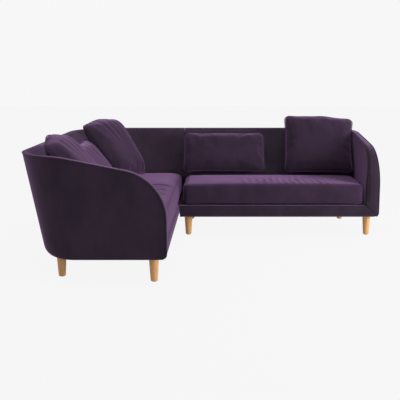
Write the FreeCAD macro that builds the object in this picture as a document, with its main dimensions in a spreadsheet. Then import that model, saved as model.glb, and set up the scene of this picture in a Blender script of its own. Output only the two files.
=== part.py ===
import FreeCAD, Part
import math
import os
import re
import Sketcher
from FreeCAD import Placement, Rotation, Vector

# Corner sofa in two modules that meet beside the inner corner. The frame of the model: the middle of
# the footprint at the floor, +X along the long wall, +Y towards that wall, +Z up, millimetres.
#
# Each module is drawn in its own coordinates. "along" runs from the outside of its arm towards the
# other module, and "deep" runs from its front plane towards its back. The right module faces -Y and
# the left module faces +X.

doc = FreeCAD.newDocument("corner_sofa")
sheet = doc.addObject("Spreadsheet::Sheet", "Sizes")

SIZES = [
    ("half_width", 1260, "half the width along the wall"),
    ("half_depth", 1100, "half the depth of the left module"),
    ("left_front", -304, "front plane of the left module, on X"),
    ("right_front", 145, "front plane of the right module, on Y"),
    ("module_gap", 3, "gap between the two modules"),
    ("clearance", 152, "floor to the underside of the upholstery"),
    ("back_height", 777, "floor to the top of the back"),
    ("foot_depth", 779, "front plane to the outer back, at the underside"),
    ("head_depth", 959, "front plane to the outer back, at the top"),
    ("foot_radius", 212, "outer corner in plan, at the underside"),
    ("head_radius", 379, "outer corner in plan, at the top"),
    ("arm_sweep", 95, "how far the arm's top line has moved in at the back"),
    ("arm_width", 106, "arm at seat height"),
    ("arm_rim", 50, "arm at its top line"),
    ("back_rim", 37, "back at its top line"),
    ("arm_shoulder", 654, "where the arm's top line would meet its front edge"),
    ("arm_rise", 0.184, "slope of the arm's top line"),
    ("shoulder_radius", 305, "the arm's front shoulder"),
    ("blend_radius", 900, "the arm's top line into the level back"),
    ("toe_radius", 40, "lower edges at the front and outside the arm"),
    ("heel_radius", 80, "rear lower edge of the back"),
    ("seat_depth", 541, "front plane to the inner back, at the seat"),
    ("lean_start", 435, "height where the inner back starts to lean"),
    ("well_radius", 60, "inner corner in plan, at the seat"),
    ("cover", 20, "outer upholstery: felt, foam and velvet"),
    ("pad", 45, "inner upholstery: foam and velvet"),
    ("timber", 28, "thickness of the hardwood rails and posts"),
    ("post_width", 60, "width of a back post"),
    ("rail_foot", 158, "underside of the base rails"),
    ("rail_head", 240, "top of the base rails"),
    ("rear_gap", 10, "rear rails clear of the cover, above its round lower edge"),
    ("arm_rail_width", 46, "built-up rail under the arm"),
    ("panel", 18, "plywood arm panel"),
    ("panel_reach", 480, "how far back the arm panel goes"),
    ("block_height", 40, "corner blocks that take the legs"),
    ("web_thick", 2, "elastic webbing"),
    ("web_width", 70, "elastic webbing"),
    ("web_pitch", 125, "spacing of the webbing"),
    ("deck_top", 250, "top of the felt and deck cloth under the seat cushions"),
    ("border_reach", 300, "how far back the arm's border goes over the shoulder"),
    ("border_fillet", 9, "upper edge of the front border"),
    ("dust_thick", 1.5, "dust cloth under the frame"),
    ("leg_top_radius", 31.5, "leg at the top"),
    ("leg_foot_radius", 22.5, "leg at the floor"),
    ("glide_radius", 16, "felt glide"),
    ("glide_thick", 3, "felt glide"),
    ("plate_side", 74, "steel leg plate"),
    ("plate_thick", 2.5, "steel leg plate"),
    ("bolt_radius", 4, "bolts of the legs and of the joining plates"),
    ("bolt_rise", 26, "how far a bolt goes up from the underside"),
    ("bolt_drop", 34, "how far a leg bolt goes down into the leg"),
    ("leg_front", 86, "front legs behind the front plane"),
    ("leg_side", 78, "front leg in from the outside of the arm"),
    ("leg_rear", 684, "rear legs behind the front plane"),
    ("leg_rear_side", 189, "rear leg in from the outside of the arm"),
    ("leg_joint", 69, "legs in from the line where the modules meet"),
    ("cushion_gap", 1, "seat cushion clear of the arm and back"),
    ("cushion_foot", 250.5, "underside of the seat cushions"),
    ("cushion_edge", 421, "upper edge of the seat cushions"),
    ("cushion_crown", 438, "middle of the seat cushions"),
    ("cushion_corner", 42, "plan corners of the seat cushions"),
    ("cushion_roll", 26, "rounded edges of the seat cushions"),
    ("cushion_bulge", 8, "how far the front of a seat cushion swells"),
    ("cushion_shy", 14, "right seat cushion clear of the left module"),
    ("core_inset", 34, "foam core inside its wrap"),
    ("core_foot", 276, "underside of the foam core"),
    ("core_head", 396, "top of the foam core"),
    ("square_side", 570, "large scatter cushions"),
    ("square_thick", 170, "large scatter cushions, middle"),
    ("lumbar_length", 690, "long scatter cushions"),
    ("lumbar_height", 390, "long scatter cushions"),
    ("lumbar_thick", 130, "long scatter cushions, middle"),
    ("seam_thick", 12, "scatter cushion at its seam"),
    ("draw_in", 24, "how far a scatter cushion's sides draw in"),
    ("link_length", 96, "steel plate that joins the modules"),
    ("link_width", 40, "steel plate that joins the modules"),
    ("link_front", 200, "front joining plate behind the right module's front plane"),
    ("link_rear", 510, "rear joining plate behind the right module's front plane"),
]

for row, (alias, value, meaning) in enumerate(SIZES, 1):
    sheet.set(f"A{row}", meaning)
    sheet.set(f"B{row}", str(value))
    sheet.setAlias(f"B{row}", alias)
doc.recompute()


def size(alias):
    return float(getattr(sheet, alias))


def linked(text):
    """The same sum with every name pointing at its cell in the sheet."""
    return re.sub(r"[a-z_]+", lambda name: "Sizes." + name.group(0), str(text))


def bind(thing, **sums):
    for attribute, text in sums.items():
        thing.setExpression(attribute.replace("__", "."), linked(text))


class Module:
    """Turns along and deep of one module into X and Y of the sofa."""

    def __init__(self, name, run, faces_x):
        self.name = name
        self.run = run
        self.faces_x = faces_x

    def point(self, along, deep):
        if self.faces_x:
            return size("left_front") - deep, along - size("half_depth")
        return size("half_width") - along, size("right_front") + deep

    def low_corner(self, along, deep):
        """Sums for the lowest X and Y of a box, from its low and high along and deep."""
        if self.faces_x:
            return f"left_front - ({deep[1]})", f"({along[0]}) - half_depth"
        return f"half_width - ({along[1]})", f"right_front + ({deep[0]})"

    def spot(self, along, deep):
        """Sums for X and Y of a point."""
        if self.faces_x:
            return f"left_front - ({deep})", f"({along}) - half_depth"
        return f"half_width - ({along})", f"right_front + ({deep})"


LEFT = Module("left", "2 * half_depth", True)
RIGHT = Module("right", "half_width - left_front - module_gap", False)
RIGHT_RUN = size("half_width") - size("left_front") - size("module_gap")
# the left module ends in a piece of the rear wall, which leans like the right module's back
WALL_FOOT = size("right_front") + size("foot_depth") + size("half_depth")
WALL_HEAD = size("right_front") + size("head_depth") + size("half_depth")
WALL_SEAT = size("right_front") + size("seat_depth") + size("half_depth")
WALL_FOOT_SUM = "right_front + foot_depth + half_depth"
WALL_SEAT_SUM = "right_front + seat_depth + half_depth"
LEAN = math.degrees(math.atan2(
    size("head_depth") - size("foot_depth"),
    size("back_height") - size("clearance"),
))

nodes = {}


def keep(name, thing):
    """Gives a finished sub-part the label that names its file."""
    thing.Label = name
    nodes[name] = thing
    return thing


# Outlines

def turn_points(start, end, centre, count):
    """Points at equal angles along an arc."""
    first, last = start - centre, end - centre
    sweep = math.degrees(first.getAngle(last))
    if first.cross(last).z < 0:
        sweep = -sweep
    spokes = [Rotation(Vector(0, 0, 1), sweep * i / count).multVec(first) for i in range(count + 1)]
    return [centre + spoke for spoke in spokes]


def rounded(corners, chords=0):
    """Edges of a closed outline, from its corners as (x, y, radius).

    The rounded corners are arcs, or as many chords as asked for."""
    turns = []
    count = len(corners)
    for i, (x, y, radius) in enumerate(corners):
        here = Vector(x, y, 0)
        before = (Vector(*corners[i - 1][:2], 0) - here).normalize()
        after = (Vector(*corners[(i + 1) % count][:2], 0) - here).normalize()
        half = before.getAngle(after) / 2
        reach = radius / math.tan(half)
        bisector = (before + after).normalize()
        centre = here + bisector * (radius / math.sin(half))
        turns.append((here + before * reach, centre - bisector * radius, here + after * reach, centre))
    edges = []
    for i, (start, middle, end, centre) in enumerate(turns):
        if corners[i][2] and chords:
            points = turn_points(start, end, centre, chords)
            edges += [Part.LineSegment(one, two) for one, two in zip(points, points[1:])]
        elif corners[i][2]:
            edges.append(Part.Arc(start, middle, end))
        edges.append(Part.LineSegment(end, turns[(i + 1) % count][0]))
    return edges


def swollen(low, high, level, rise):
    """The corner that makes a side swell by rise between low and high, or draw in where rise is below 0."""
    half = (high - low) / 2
    peak = rise / 0.6
    return (low + high) / 2, level + peak, 0.8 * math.hypot(half, peak) * half / abs(peak)


def outline(name, corners, placement, chords=0):
    sketch = doc.addObject("Sketcher::SketchObject", name)
    sketch.addGeometry(rounded(corners, chords), False)
    sketch.Placement = placement
    return sketch


# a wide corner of the shell is this many straight sides at every height, fewer where it is hidden
SEEN_CHORDS = 5
HIDDEN_CHORDS = 3


def plan(name, module, corners, height, chords):
    """An outline seen from above, from corners as (along, deep, radius)."""
    points = [(*module.point(along, deep), radius) for along, deep, radius in corners]
    return outline(name, points, Placement(Vector(0, 0, height), Rotation()), chords)


def loft(name, sections):
    solid = doc.addObject("Part::Loft", name)
    solid.Sections = sections
    solid.Solid = True
    solid.Ruled = True
    return solid


def common(name, shapes):
    thing = doc.addObject("Part::MultiCommon", name)
    thing.Shapes = shapes
    return thing


def fuse(name, shapes):
    thing = doc.addObject("Part::MultiFuse", name)
    thing.Shapes = shapes
    return thing


def cut(name, base, tool):
    thing = doc.addObject("Part::Cut", name)
    thing.Base = base
    thing.Tool = tool
    return thing


def group(name, members):
    thing = doc.addObject("Part::Compound", name)
    thing.Links = members
    return thing


# Views: solids with the same outline all along one axis

TURNS = {
    "x": (Rotation(Vector(1, 1, 1), 120), Vector(1, 0, 0)),
    "y": (Rotation(Vector(1, 0, 0), 90), Vector(0, 1, 0)),
    "z": (Rotation(), Vector(0, 0, 1)),
}


def view(name, axis, corners, span):
    """An outline in the two other axes, given as (x, y, radius), carried along one axis."""
    turn, line = TURNS[axis]
    low, high = span
    solid = doc.addObject("Part::Extrusion", name)
    solid.Base = outline(name + "_outline", corners, Placement(line * low, turn))
    solid.DirMode = "Custom"
    solid.Dir = line
    solid.LengthFwd = high - low
    solid.Solid = True
    return solid


def side_view(name, module, corners, along):
    """A view from outside the arm, from corners as (deep, height, radius)."""
    if module.faces_x:
        points = [(size("left_front") - deep, z, radius) for deep, z, radius in corners]
        return view(name, "y", points, [end - size("half_depth") for end in along])
    points = [(size("right_front") + deep, z, radius) for deep, z, radius in corners]
    return view(name, "x", points, [size("half_width") - end for end in reversed(along)])


def front_view(name, module, corners, deep):
    """A view from the front of a module, from corners as (along, height, radius)."""
    if module.faces_x:
        points = [(along - size("half_depth"), z, radius) for along, z, radius in corners]
        return view(name, "x", points, [size("left_front") - end for end in reversed(deep)])
    points = [(size("half_width") - along, z, radius) for along, z, radius in corners]
    return view(name, "y", points, [size("right_front") + end for end in deep])


# The shell of a module: an outer skin that leans out and turns a wide corner, an inner skin round
# the seat, and two views that trim both to the swept arm and to the rounded lower edges

def mix(foot, head, share):
    return foot + (head - foot) * share


def outer_corners(module, height, inset, reach):
    """The outer skin in plan at a height, moved in by inset, and past the open sides by reach."""
    share = (height - size("clearance")) / (size("back_height") - size("clearance"))
    deep = mix(size("foot_depth"), size("head_depth"), share) - inset
    sweep = size("arm_sweep") * share
    slope = sweep / size("head_depth")
    radius = mix(size("foot_radius"), size("head_radius"), share) - inset
    corners = [
        (inset - slope * reach, -reach, 0),
        (inset + slope * deep, deep, radius),
    ]
    if module is LEFT:
        wall = mix(WALL_FOOT, WALL_HEAD, share) - inset
        return corners + [(wall, deep, radius), (wall, -reach, 0)]
    return corners + [(RIGHT_RUN + reach, deep, 0), (RIGHT_RUN + reach, -reach, 0)]


def well_corners(module, height, thickness):
    """The inner skin in plan at a height, moved back into the wall by a thickness."""
    start = size("lean_start")
    share = max(0, (height - start) / (size("back_height") - start))
    reach = 60
    deep = mix(size("seat_depth"), size("head_depth") - size("back_rim"), share) + thickness
    side = mix(size("arm_width"), size("arm_rim"), share) - thickness
    slope = size("arm_sweep") * share / size("head_depth")
    radius = mix(size("well_radius"), size("head_radius") - size("back_rim"), share) + thickness
    corners = [
        (side - slope * reach, -reach, 0),
        (side + slope * deep, deep, radius),
    ]
    if module is LEFT:
        wall = mix(WALL_SEAT, WALL_HEAD - size("back_rim"), share) + thickness
        return corners + [(wall, deep, radius), (wall, -reach, 0)]
    return corners + [(RIGHT_RUN + reach, deep, 0), (RIGHT_RUN + reach, -reach, 0)]


ABOVE = 830
BELOW = 100
SLACK = 1


def skin_loft(module, name, corners_at, chords, levels):
    """A solid through plans at several heights; each level is the height, then what corners_at needs."""
    name = f"{module.name}_{name}"
    sections = []
    for i, (height, *rest) in enumerate(levels, 1):
        sections.append(plan(f"{name}_{i}", module, corners_at(module, height, *rest), height, chords))
    return loft(name, sections)


def lower_back(face):
    """Corners of a leaning back at its top and at its rounded heel, for the depth of its outer face."""
    level, foot = size("back_height"), size("clearance")
    lean = (size("head_depth") - size("foot_depth")) / (level - foot)
    head = face + size("head_depth") - size("foot_depth")
    return [
        (head + SLACK, level, 0),
        (head + SLACK, level - 1, 0),
        (face + SLACK - lean, foot, size("heel_radius")),
    ]


def arm_line(inset):
    """The arm from the side as (deep, height, radius): its front, its shoulder and its swept top line."""
    rise, level = size("arm_rise"), size("back_height")
    drop = inset * math.hypot(1, rise)
    shoulder = size("arm_shoulder") - drop
    turn = (level - inset - shoulder) / rise
    return [
        (inset, shoulder + inset * rise, size("shoulder_radius") - inset),
        (turn, level - inset, size("blend_radius") - inset),
    ]


def trimmed(module, skin):
    """A skin trimmed by the side view of its arm and by the view from the front."""
    name = module.name
    foot, level, toe = size("clearance"), size("back_height"), size("toe_radius")
    heel = lower_back(size("foot_depth"))
    arm = [(0, foot, toe), *arm_line(0), *heel]
    plain = [(0, foot, toe), (0, level, 0), *heel]
    if module is LEFT:
        half_way = size("half_depth")
        side = fuse(f"{name}_side_view", [
            side_view(f"{name}_arm_view", module, arm, (-5, half_way)),
            side_view(f"{name}_back_view", module, plain, (half_way, 2 * half_way + 5)),
        ])
        far = lower_back(WALL_FOOT)
    else:
        side = side_view(f"{name}_side_view", module, arm, (-5, RIGHT_RUN))
        far = [(RIGHT_RUN + 60, level, 0), (RIGHT_RUN + 60, foot, 0)]
    front = front_view(f"{name}_front_view", module, [(-SLACK / 2, foot, toe), (-SLACK / 2, level, 0), *far],
                       (-5, size("head_depth") + 5))
    return common(f"{name}_trimmed", [skin, side, front]), [side, front]


# Timber

def block(name, module, along, deep, high):
    """A square-edged board between low and high values, each a sum of sizes."""
    low_x, low_y = module.low_corner(along, deep)
    run, depth = f"({along[1]}) - ({along[0]})", f"({deep[1]}) - ({deep[0]})"
    if module.faces_x:
        run, depth = depth, run
    board = doc.addObject("Part::Box", name)
    bind(board, Length=run, Width=depth, Height=f"({high[1]}) - ({high[0]})",
         Placement__Base__x=low_x, Placement__Base__y=low_y, Placement__Base__z=high[0])
    return board


BASE = ("rail_foot", "rail_head")


def leaning(name, module, along, width, foot, rise, on_wall=False):
    """A board that leans with the outer back, just inside the outer cover."""
    thick = size("timber")
    angle = math.radians(LEAN)
    run_out = (foot - size("clearance")) * math.tan(angle)
    deep = size("foot_depth") + run_out - size("cover") / math.cos(angle) - thick / math.cos(angle)
    board = doc.addObject("Part::Box", name)
    bind(board, Height=rise)
    if module is RIGHT or on_wall:
        board.Length, board.Width = width, thick
        board.Placement.Rotation = Rotation(Vector(1, 0, 0), -LEAN)
        x = size("left_front") - along - width if on_wall else size("half_width") - along - width
        y = size("right_front") + deep
        board.Placement.Base = Vector(x, y, foot)
    else:
        board.Length, board.Width = thick, width
        x = size("left_front") - deep
        turn = Rotation(Vector(0, 1, 0), -LEAN)
        board.Placement.Rotation = turn
        board.Placement.Base = Vector(x, along - size("half_depth"), foot) - turn.multVec(Vector(thick, 0, 0))
    return board


def posts(module, name, places, rear_rail, on_wall=False):
    """Back posts, scarfed to the rear rail."""
    boards = []
    for i, along in enumerate(places, 1):
        board = leaning(f"{name}_board_{i}", module, along, size("post_width"), 196, 511, on_wall)
        boards.append(cut(f"{name}_{i}", board, rear_rail))
    return boards


def arm_panel(module, name):
    """Plywood that gives the arm its side view, standing on edge in the arm."""
    front, drop = 50, 34
    reach = size("panel_reach")
    shoulder = size("arm_shoulder") - drop
    corners = [
        (front, size("rail_foot"), 0),
        (front, shoulder + front * size("arm_rise"), size("shoulder_radius") - drop),
        (reach, shoulder + reach * size("arm_rise"), 0),
        (reach, size("rail_foot"), 0),
    ]
    inside = size("cover") + size("arm_rail_width")
    return side_view(name, module, corners, (inside, inside + size("panel")))


PANEL_IN = "cover + arm_rail_width"
PANEL_OUT = "cover + arm_rail_width + panel"
CROSS_OUT = "cover + arm_rail_width + panel + timber"
FRONT_BACK = "cover + timber"
REAR = ("foot_depth - cover - timber - rear_gap", "foot_depth - cover - rear_gap")


def frame(module):
    """Hardwood base, arm panel, back posts and top rails of one module."""
    name = module.name
    is_left = module is LEFT
    far = f"{WALL_FOOT_SUM} - cover - rear_gap" if is_left else f"{module.run} - 1"
    rails = {
        "front_rail": (("cover + 1", far), ("cover", FRONT_BACK)),
        "seat_rail": ((CROSS_OUT, WALL_SEAT_SUM if is_left else f"{far} - timber"),
                      ("seat_depth", "seat_depth + timber")),
        "rear_rail": (("foot_radius - 16", f"{WALL_FOOT_SUM} - foot_radius + 16" if is_left else far), REAR),
        "arm_rail": (("cover + 9", PANEL_IN), (FRONT_BACK, "foot_depth - foot_radius - 3")),
        "arm_cross_rail": ((PANEL_OUT, CROSS_OUT), (FRONT_BACK, "foot_depth - 83")),
    }
    if is_left:
        rails["wall_seat_rail"] = ((WALL_SEAT_SUM, f"{WALL_SEAT_SUM} + timber"), (FRONT_BACK, REAR[0]))
        rails["wall_rear_rail"] = ((f"{far} - timber", far), (FRONT_BACK, "foot_depth - foot_radius - 3"))
    else:
        rails["joint_rail"] = ((f"{far} - timber", far), (FRONT_BACK, REAR[0]))
    boards = {}
    for rail, (along, deep) in rails.items():
        boards[rail] = block(f"{name}_{rail}", module, along, deep, BASE)
    panel = arm_panel(module, f"{name}_arm_panel")
    middles = (640, 1210) if is_left else (830,)
    crosses = [
        block(f"{name}_cross_rail_{i}", module, (str(middle), f"{middle} + timber"),
              (FRONT_BACK, "seat_depth"), BASE)
        for i, middle in enumerate(middles, 1)
    ]
    crosses += [
        block(f"{name}_rear_cross_rail_{i}", module, (str(middle), f"{middle} + timber"),
              ("seat_depth + timber", REAR[0]), BASE)
        for i, middle in enumerate(middles, 1)
    ]
    return boards, panel, group(f"{name}_cross_rails", crosses)


def leg_places(module):
    """Where the legs stand, as sums for along and deep."""
    if module is LEFT:
        far = f"{WALL_FOOT_SUM} - leg_side"
        far_rear = f"{WALL_FOOT_SUM} - leg_rear_side + 10"
    else:
        far = far_rear = f"{module.run} - leg_joint + module_gap"
    return {
        "front_arm": ("leg_side", "leg_front"),
        "rear_arm": ("leg_rear_side", "leg_rear"),
        "front_far": (far, "leg_front"),
        "rear_far": (far_rear, "leg_rear"),
    }


def corner_blocks(module, bolts):
    """Hardwood blocks glued into the corners of the base, bored for the leg bolts."""
    name = module.name
    is_left = module is LEFT
    height = ("rail_foot", "rail_foot + block_height")
    if is_left:
        far_front = (f"{WALL_FOOT_SUM} - leg_side - 54", f"{WALL_FOOT_SUM} - cover - timber - rear_gap")
        far_rear = (f"{WALL_SEAT_SUM} + timber", f"{WALL_FOOT_SUM} - foot_radius + 62")
    else:
        far_front = (f"{module.run} - 140", f"{module.run} - 1 - timber")
        far_rear = far_front
    spans = {
        "front_arm": ((CROSS_OUT, "cover + 140"), (FRONT_BACK, "cover + 128")),
        "rear_arm": ((CROSS_OUT, "foot_radius + 50"), ("seat_depth + timber", REAR[0])),
        "front_far": (far_front, (FRONT_BACK, "cover + 128")),
        "rear_far": (far_rear, ("seat_depth + timber", REAR[0])),
    }
    made = []
    for corner, (along, deep) in spans.items():
        made.append(block(f"{name}_{corner}_block", module, along, deep, height))
    return cut(f"{name}_bored_blocks", group(f"{name}_blocks", made), bolts)


# Legs

def plane(body, role):
    for feature in body.Origin.OriginFeatures:
        if feature.Role == role:
            return feature


def profile(body, name, role, points):
    """A closed sketch of straight lines in a body, each corner bound to two sums of sizes."""
    sketch = body.newObject("Sketcher::SketchObject", name)
    sketch.AttachmentSupport = [(plane(body, role), "")]
    sketch.MapMode = "FlatFace"
    count = len(points)
    values = [Vector(*(eval_sum(text) for text in point), 0) for point in points]
    for i in range(count):
        sketch.addGeometry(Part.LineSegment(values[i], values[(i + 1) % count]), False)
    for i in range(count):
        sketch.addConstraint(Sketcher.Constraint("Coincident", i, 2, (i + 1) % count, 1))
    for i, (across, up) in enumerate(points):
        for kind, text, value in (("DistanceX", across, values[i].x), ("DistanceY", up, values[i].y)):
            index = sketch.addConstraint(Sketcher.Constraint(kind, -1, 1, i, 1, value))
            sketch.setExpression(f"Constraints[{index}]", linked(text))
    return sketch


def eval_sum(text):
    """The value of a sum of sizes, through a cell of the sheet."""
    sheet.set("D1", "=" + str(text))
    sheet.recompute()
    return float(sheet.D1)


LEG_TOP = "rail_foot - dust_thick - plate_thick"


def leg(name, module, along, deep):
    """A turned leg, narrower at the floor."""
    body = doc.addObject("PartDesign::Body", name)
    turned = body.newObject("PartDesign::Revolution", name + "_turned")
    turned.Profile = profile(body, name + "_profile", "XZ_Plane", [
        ("0", "glide_thick"),
        ("leg_foot_radius", "glide_thick"),
        ("leg_top_radius", LEG_TOP),
        ("0", LEG_TOP),
    ])
    turned.ReferenceAxis = (turned.Profile[0], ["V_Axis"])
    turned.Angle = 360
    x, y = module.spot(along, deep)
    bind(body, Placement__Base__x=x, Placement__Base__y=y)
    return body


def bar(name, sides, radius, x, y, low, height):
    """An upright bar: a bolt as the six-sided bar its thread is cut on, or a punched felt disc."""
    rod = doc.addObject("Part::Prism", name)
    rod.Polygon = sides
    bind(rod, Circumradius=radius, Height=height, Placement__Base__x=x, Placement__Base__y=y,
         Placement__Base__z=low)
    return rod


def leg_plate(name, module, along, deep):
    half = "plate_side / 2"
    return block(name, module, (f"{along} - {half}", f"{along} + {half}"),
                 (f"{deep} - {half}", f"{deep} + {half}"), (LEG_TOP, f"{LEG_TOP} + plate_thick"))


# Seats

def webbing(module, name, first, last):
    """Elastic straps from the front rail to the seat rail."""
    straps = []
    count = int((last - first) // size("web_pitch"))
    start = (first + last - count * size("web_pitch") - size("web_width")) / 2
    for i in range(count + 1):
        straps.append(block(f"{name}_strap_{i + 1}", module,
                            (f"{start} + {i} * web_pitch", f"{start} + {i} * web_pitch + web_width"),
                            ("cover + 8", "seat_depth + timber - 8"),
                            ("rail_head", "rail_head + web_thick")))
    return group(name, straps)


def crowned(low, high):
    """One side of a seat cushion: rolled edges and a crowned top."""
    foot, edge, roll = size("cushion_foot"), size("cushion_edge"), size("cushion_roll")
    crown = swollen(low, high, edge, size("cushion_crown") - edge)
    return [(low, foot, roll), (low, edge, roll), crown, (high, edge, roll), (high, foot, roll)]


def seat_cushion(module, along):
    """A boxed cushion from its side, its front and its plan, and the foam core in its wrap."""
    name = f"{module.name}_seat_cushion"
    low, high = along
    back = size("seat_depth") - size("cushion_gap")
    corner, inner = size("cushion_corner"), size("well_radius") + 6
    middle, deep, radius = swollen(low, high, 0, -size("cushion_bulge"))
    corners = [(low, 0, corner), (middle, deep, radius), (high, 0, corner), (high, back, inner),
               (low, back, inner)]
    points = [(*module.point(here, deep), radius) for here, deep, radius in corners]
    wrap = common(name, [
        side_view(name + "_side", module, crowned(0, back), (low - 10, high + 10)),
        front_view(name + "_front", module, crowned(low, high), (-30, back + 30)),
        view(name + "_plan", "z", points, (size("cushion_foot") - 5, size("cushion_crown") + 30)),
    ])
    inset = size("core_inset")
    core = block(name + "_core", module, (f"{low} + core_inset", f"{high} - core_inset"),
                 ("core_inset", f"{back} - core_inset"), ("core_foot", "core_head"))
    return cut(name + "_wrap", wrap, core), core


# Scatter cushions

def lens(length, thick):
    """A cushion on edge: two bowed faces and a narrow seam at each end, as (along, across, radius)."""
    half, seam = length / 2, size("seam_thick") / 2
    rise = thick / 2 - seam
    here, front, radius = swollen(-half, half, seam, rise)
    return [(-half, -seam, 0), (here, -front, radius), (half, -seam, 0),
            (half, seam, 0), (here, front, radius), (-half, seam, 0)]


def scatter_cushion(name, width, height, thick, middle, heading, recline, roll):
    """A filled cover: bowed on both faces, thin at the seam, its sides drawn in between the corners.

    heading turns it about Z, recline leans its top back, and roll tips it in its own plane."""
    draw = size("draw_in")
    across, up = width / 2, height / 2
    side, side_in, side_radius = swollen(-across, across, up, -draw)
    edge, edge_in, edge_radius = swollen(-up, up, across, -draw)
    face = [(-across, -up, 0), (side, -side_in, side_radius), (across, -up, 0), (edge_in, edge, edge_radius),
            (across, up, 0), (side, side_in, side_radius), (-across, up, 0), (-edge_in, edge, edge_radius)]
    tall = [(y, z, radius) for z, y, radius in lens(height, thick)]
    cushion = common(name, [
        view(name + "_face", "y", face, (-thick, thick)),
        view(name + "_end", "x", tall, (-width, width)),
        view(name + "_top", "z", lens(width, thick), (-height, height)),
    ])
    turn = Rotation(Vector(0, 0, 1), heading) * Rotation(Vector(1, 0, 0), -recline)
    cushion.Placement = Placement(Vector(*middle), turn * Rotation(Vector(0, 1, 0), roll))
    return cushion


# Borders

def arm_band(module):
    """The arm's front and shoulder as deep as the cover is thick, and the foot of that band."""
    name = module.name
    cover, level = size("cover"), size("back_height")
    far = size("head_depth") + SLACK
    across = ("-10", "arm_width + 4")
    arm_box = block(f"{name}_arm_box", module, across, ("-10", "border_reach"), (str(BELOW), "back_height"))
    core = side_view(f"{name}_arm_core", module,
                     [(cover, BELOW, 0), *arm_line(cover), (far, level - cover, 0), (far, BELOW, 0)],
                     (-15, size("arm_width") + 9))
    toe = block(f"{name}_toe_box", module, across, ("-10", "toe_radius"), (str(BELOW), "rail_foot"))
    return cut(f"{name}_arm_band", arm_box, core), toe


def mitre_wedge(module):
    """What lies below the diagonal seam between the arm's border and the rail's."""
    foot = size("clearance")
    slope = (size("deck_top") - foot) / size("arm_width")
    corners = [(end, foot + slope * end, 0) for end in (-20, 120)] + [(120, BELOW, 0), (-20, BELOW, 0)]
    return front_view(f"{module.name}_mitre_wedge", module, corners, (-10, 60))


def rail_border(module, views):
    """The front border below the seat cushion, mitred to the arm and turned under the front rail."""
    name = f"{module.name}_rail_border"
    body = doc.addObject("PartDesign::Body", name)
    run = WALL_SEAT_SUM if module is LEFT else module.run
    ends = [("0", "clearance"), ("arm_width", "deck_top"), (run, "deck_top"), (run, "clearance")]
    pad = body.newObject("PartDesign::Pad", name + "_pad")
    if module is LEFT:
        points = [(f"{along} - half_depth", up) for along, up in ends]
        pad.Profile = profile(body, name + "_outline", "YZ_Plane", points)
        bind(body, Placement__Base__x="left_front - toe_radius")
    else:
        points = [(f"half_width - ({along})", up) for along, up in ends]
        pad.Profile = profile(body, name + "_outline", "XZ_Plane", points)
        bind(body, Placement__Base__y="right_front + toe_radius")
    bind(pad, Length="toe_radius")
    doc.recompute()
    box = pad.Shape.BoundBox
    edges = []
    for i, edge in enumerate(pad.Shape.Edges, 1):
        middle = edge.CenterOfMass
        at_front = abs(middle.x - box.XMax) < 1 if module is LEFT else abs(middle.y - box.YMin) < 1
        if at_front and edge.BoundBox.ZMin > size("deck_top") - 1:
            edges.append(f"Edge{i}")
    fillet = body.newObject("PartDesign::Fillet", name + "_edge")
    fillet.Base = (pad, edges)
    bind(fillet, Radius="border_fillet")
    rail_space = block(name + "_rail_space", module, ("-10", f"{run} + 10"), ("cover", "toe_radius + 10"),
                       ("rail_foot", "deck_top + 10"))
    spaces = fuse(name + "_spaces", [rail_space, joining_bolts])
    return cut(name + "_turned_under", common(name + "_trimmed", [body, *views]), spaces)


# Build the two modules

all_bolts = []
all_plates = []
all_glides = []
links = {}
link_bolts = []
LINK_FOOT = "clearance - plate_thick"
# the joining plates reach from the left module's front rail to the right module's joint rail
LINK_SPOTS = ("left_front - cover - timber / 2", "left_front + module_gap + 1 + timber / 2")
for place in ("link_front", "link_rear"):
    plate = doc.addObject("Part::Box", place)
    middle = f"({LINK_SPOTS[0]} + {LINK_SPOTS[1]}) / 2"
    bind(plate, Length="link_length", Width="link_width", Height="plate_thick",
         Placement__Base__x=f"{middle} - link_length / 2",
         Placement__Base__y=f"right_front + {place} - link_width / 2", Placement__Base__z=LINK_FOOT)
    links[place] = plate
    for i, x in enumerate(LINK_SPOTS, 1):
        link_bolts.append(bar(f"{place}_bolt_{i}", 6, "bolt_radius", x, f"right_front + {place}",
                              LINK_FOOT, "plate_thick + bolt_rise"))
joining_bolts = keep("joining_bolts", group("joining_bolts", link_bolts))
keep("joining_plates", cut("joining_plates", group("joining_blanks", list(links.values())), joining_bolts))

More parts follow.
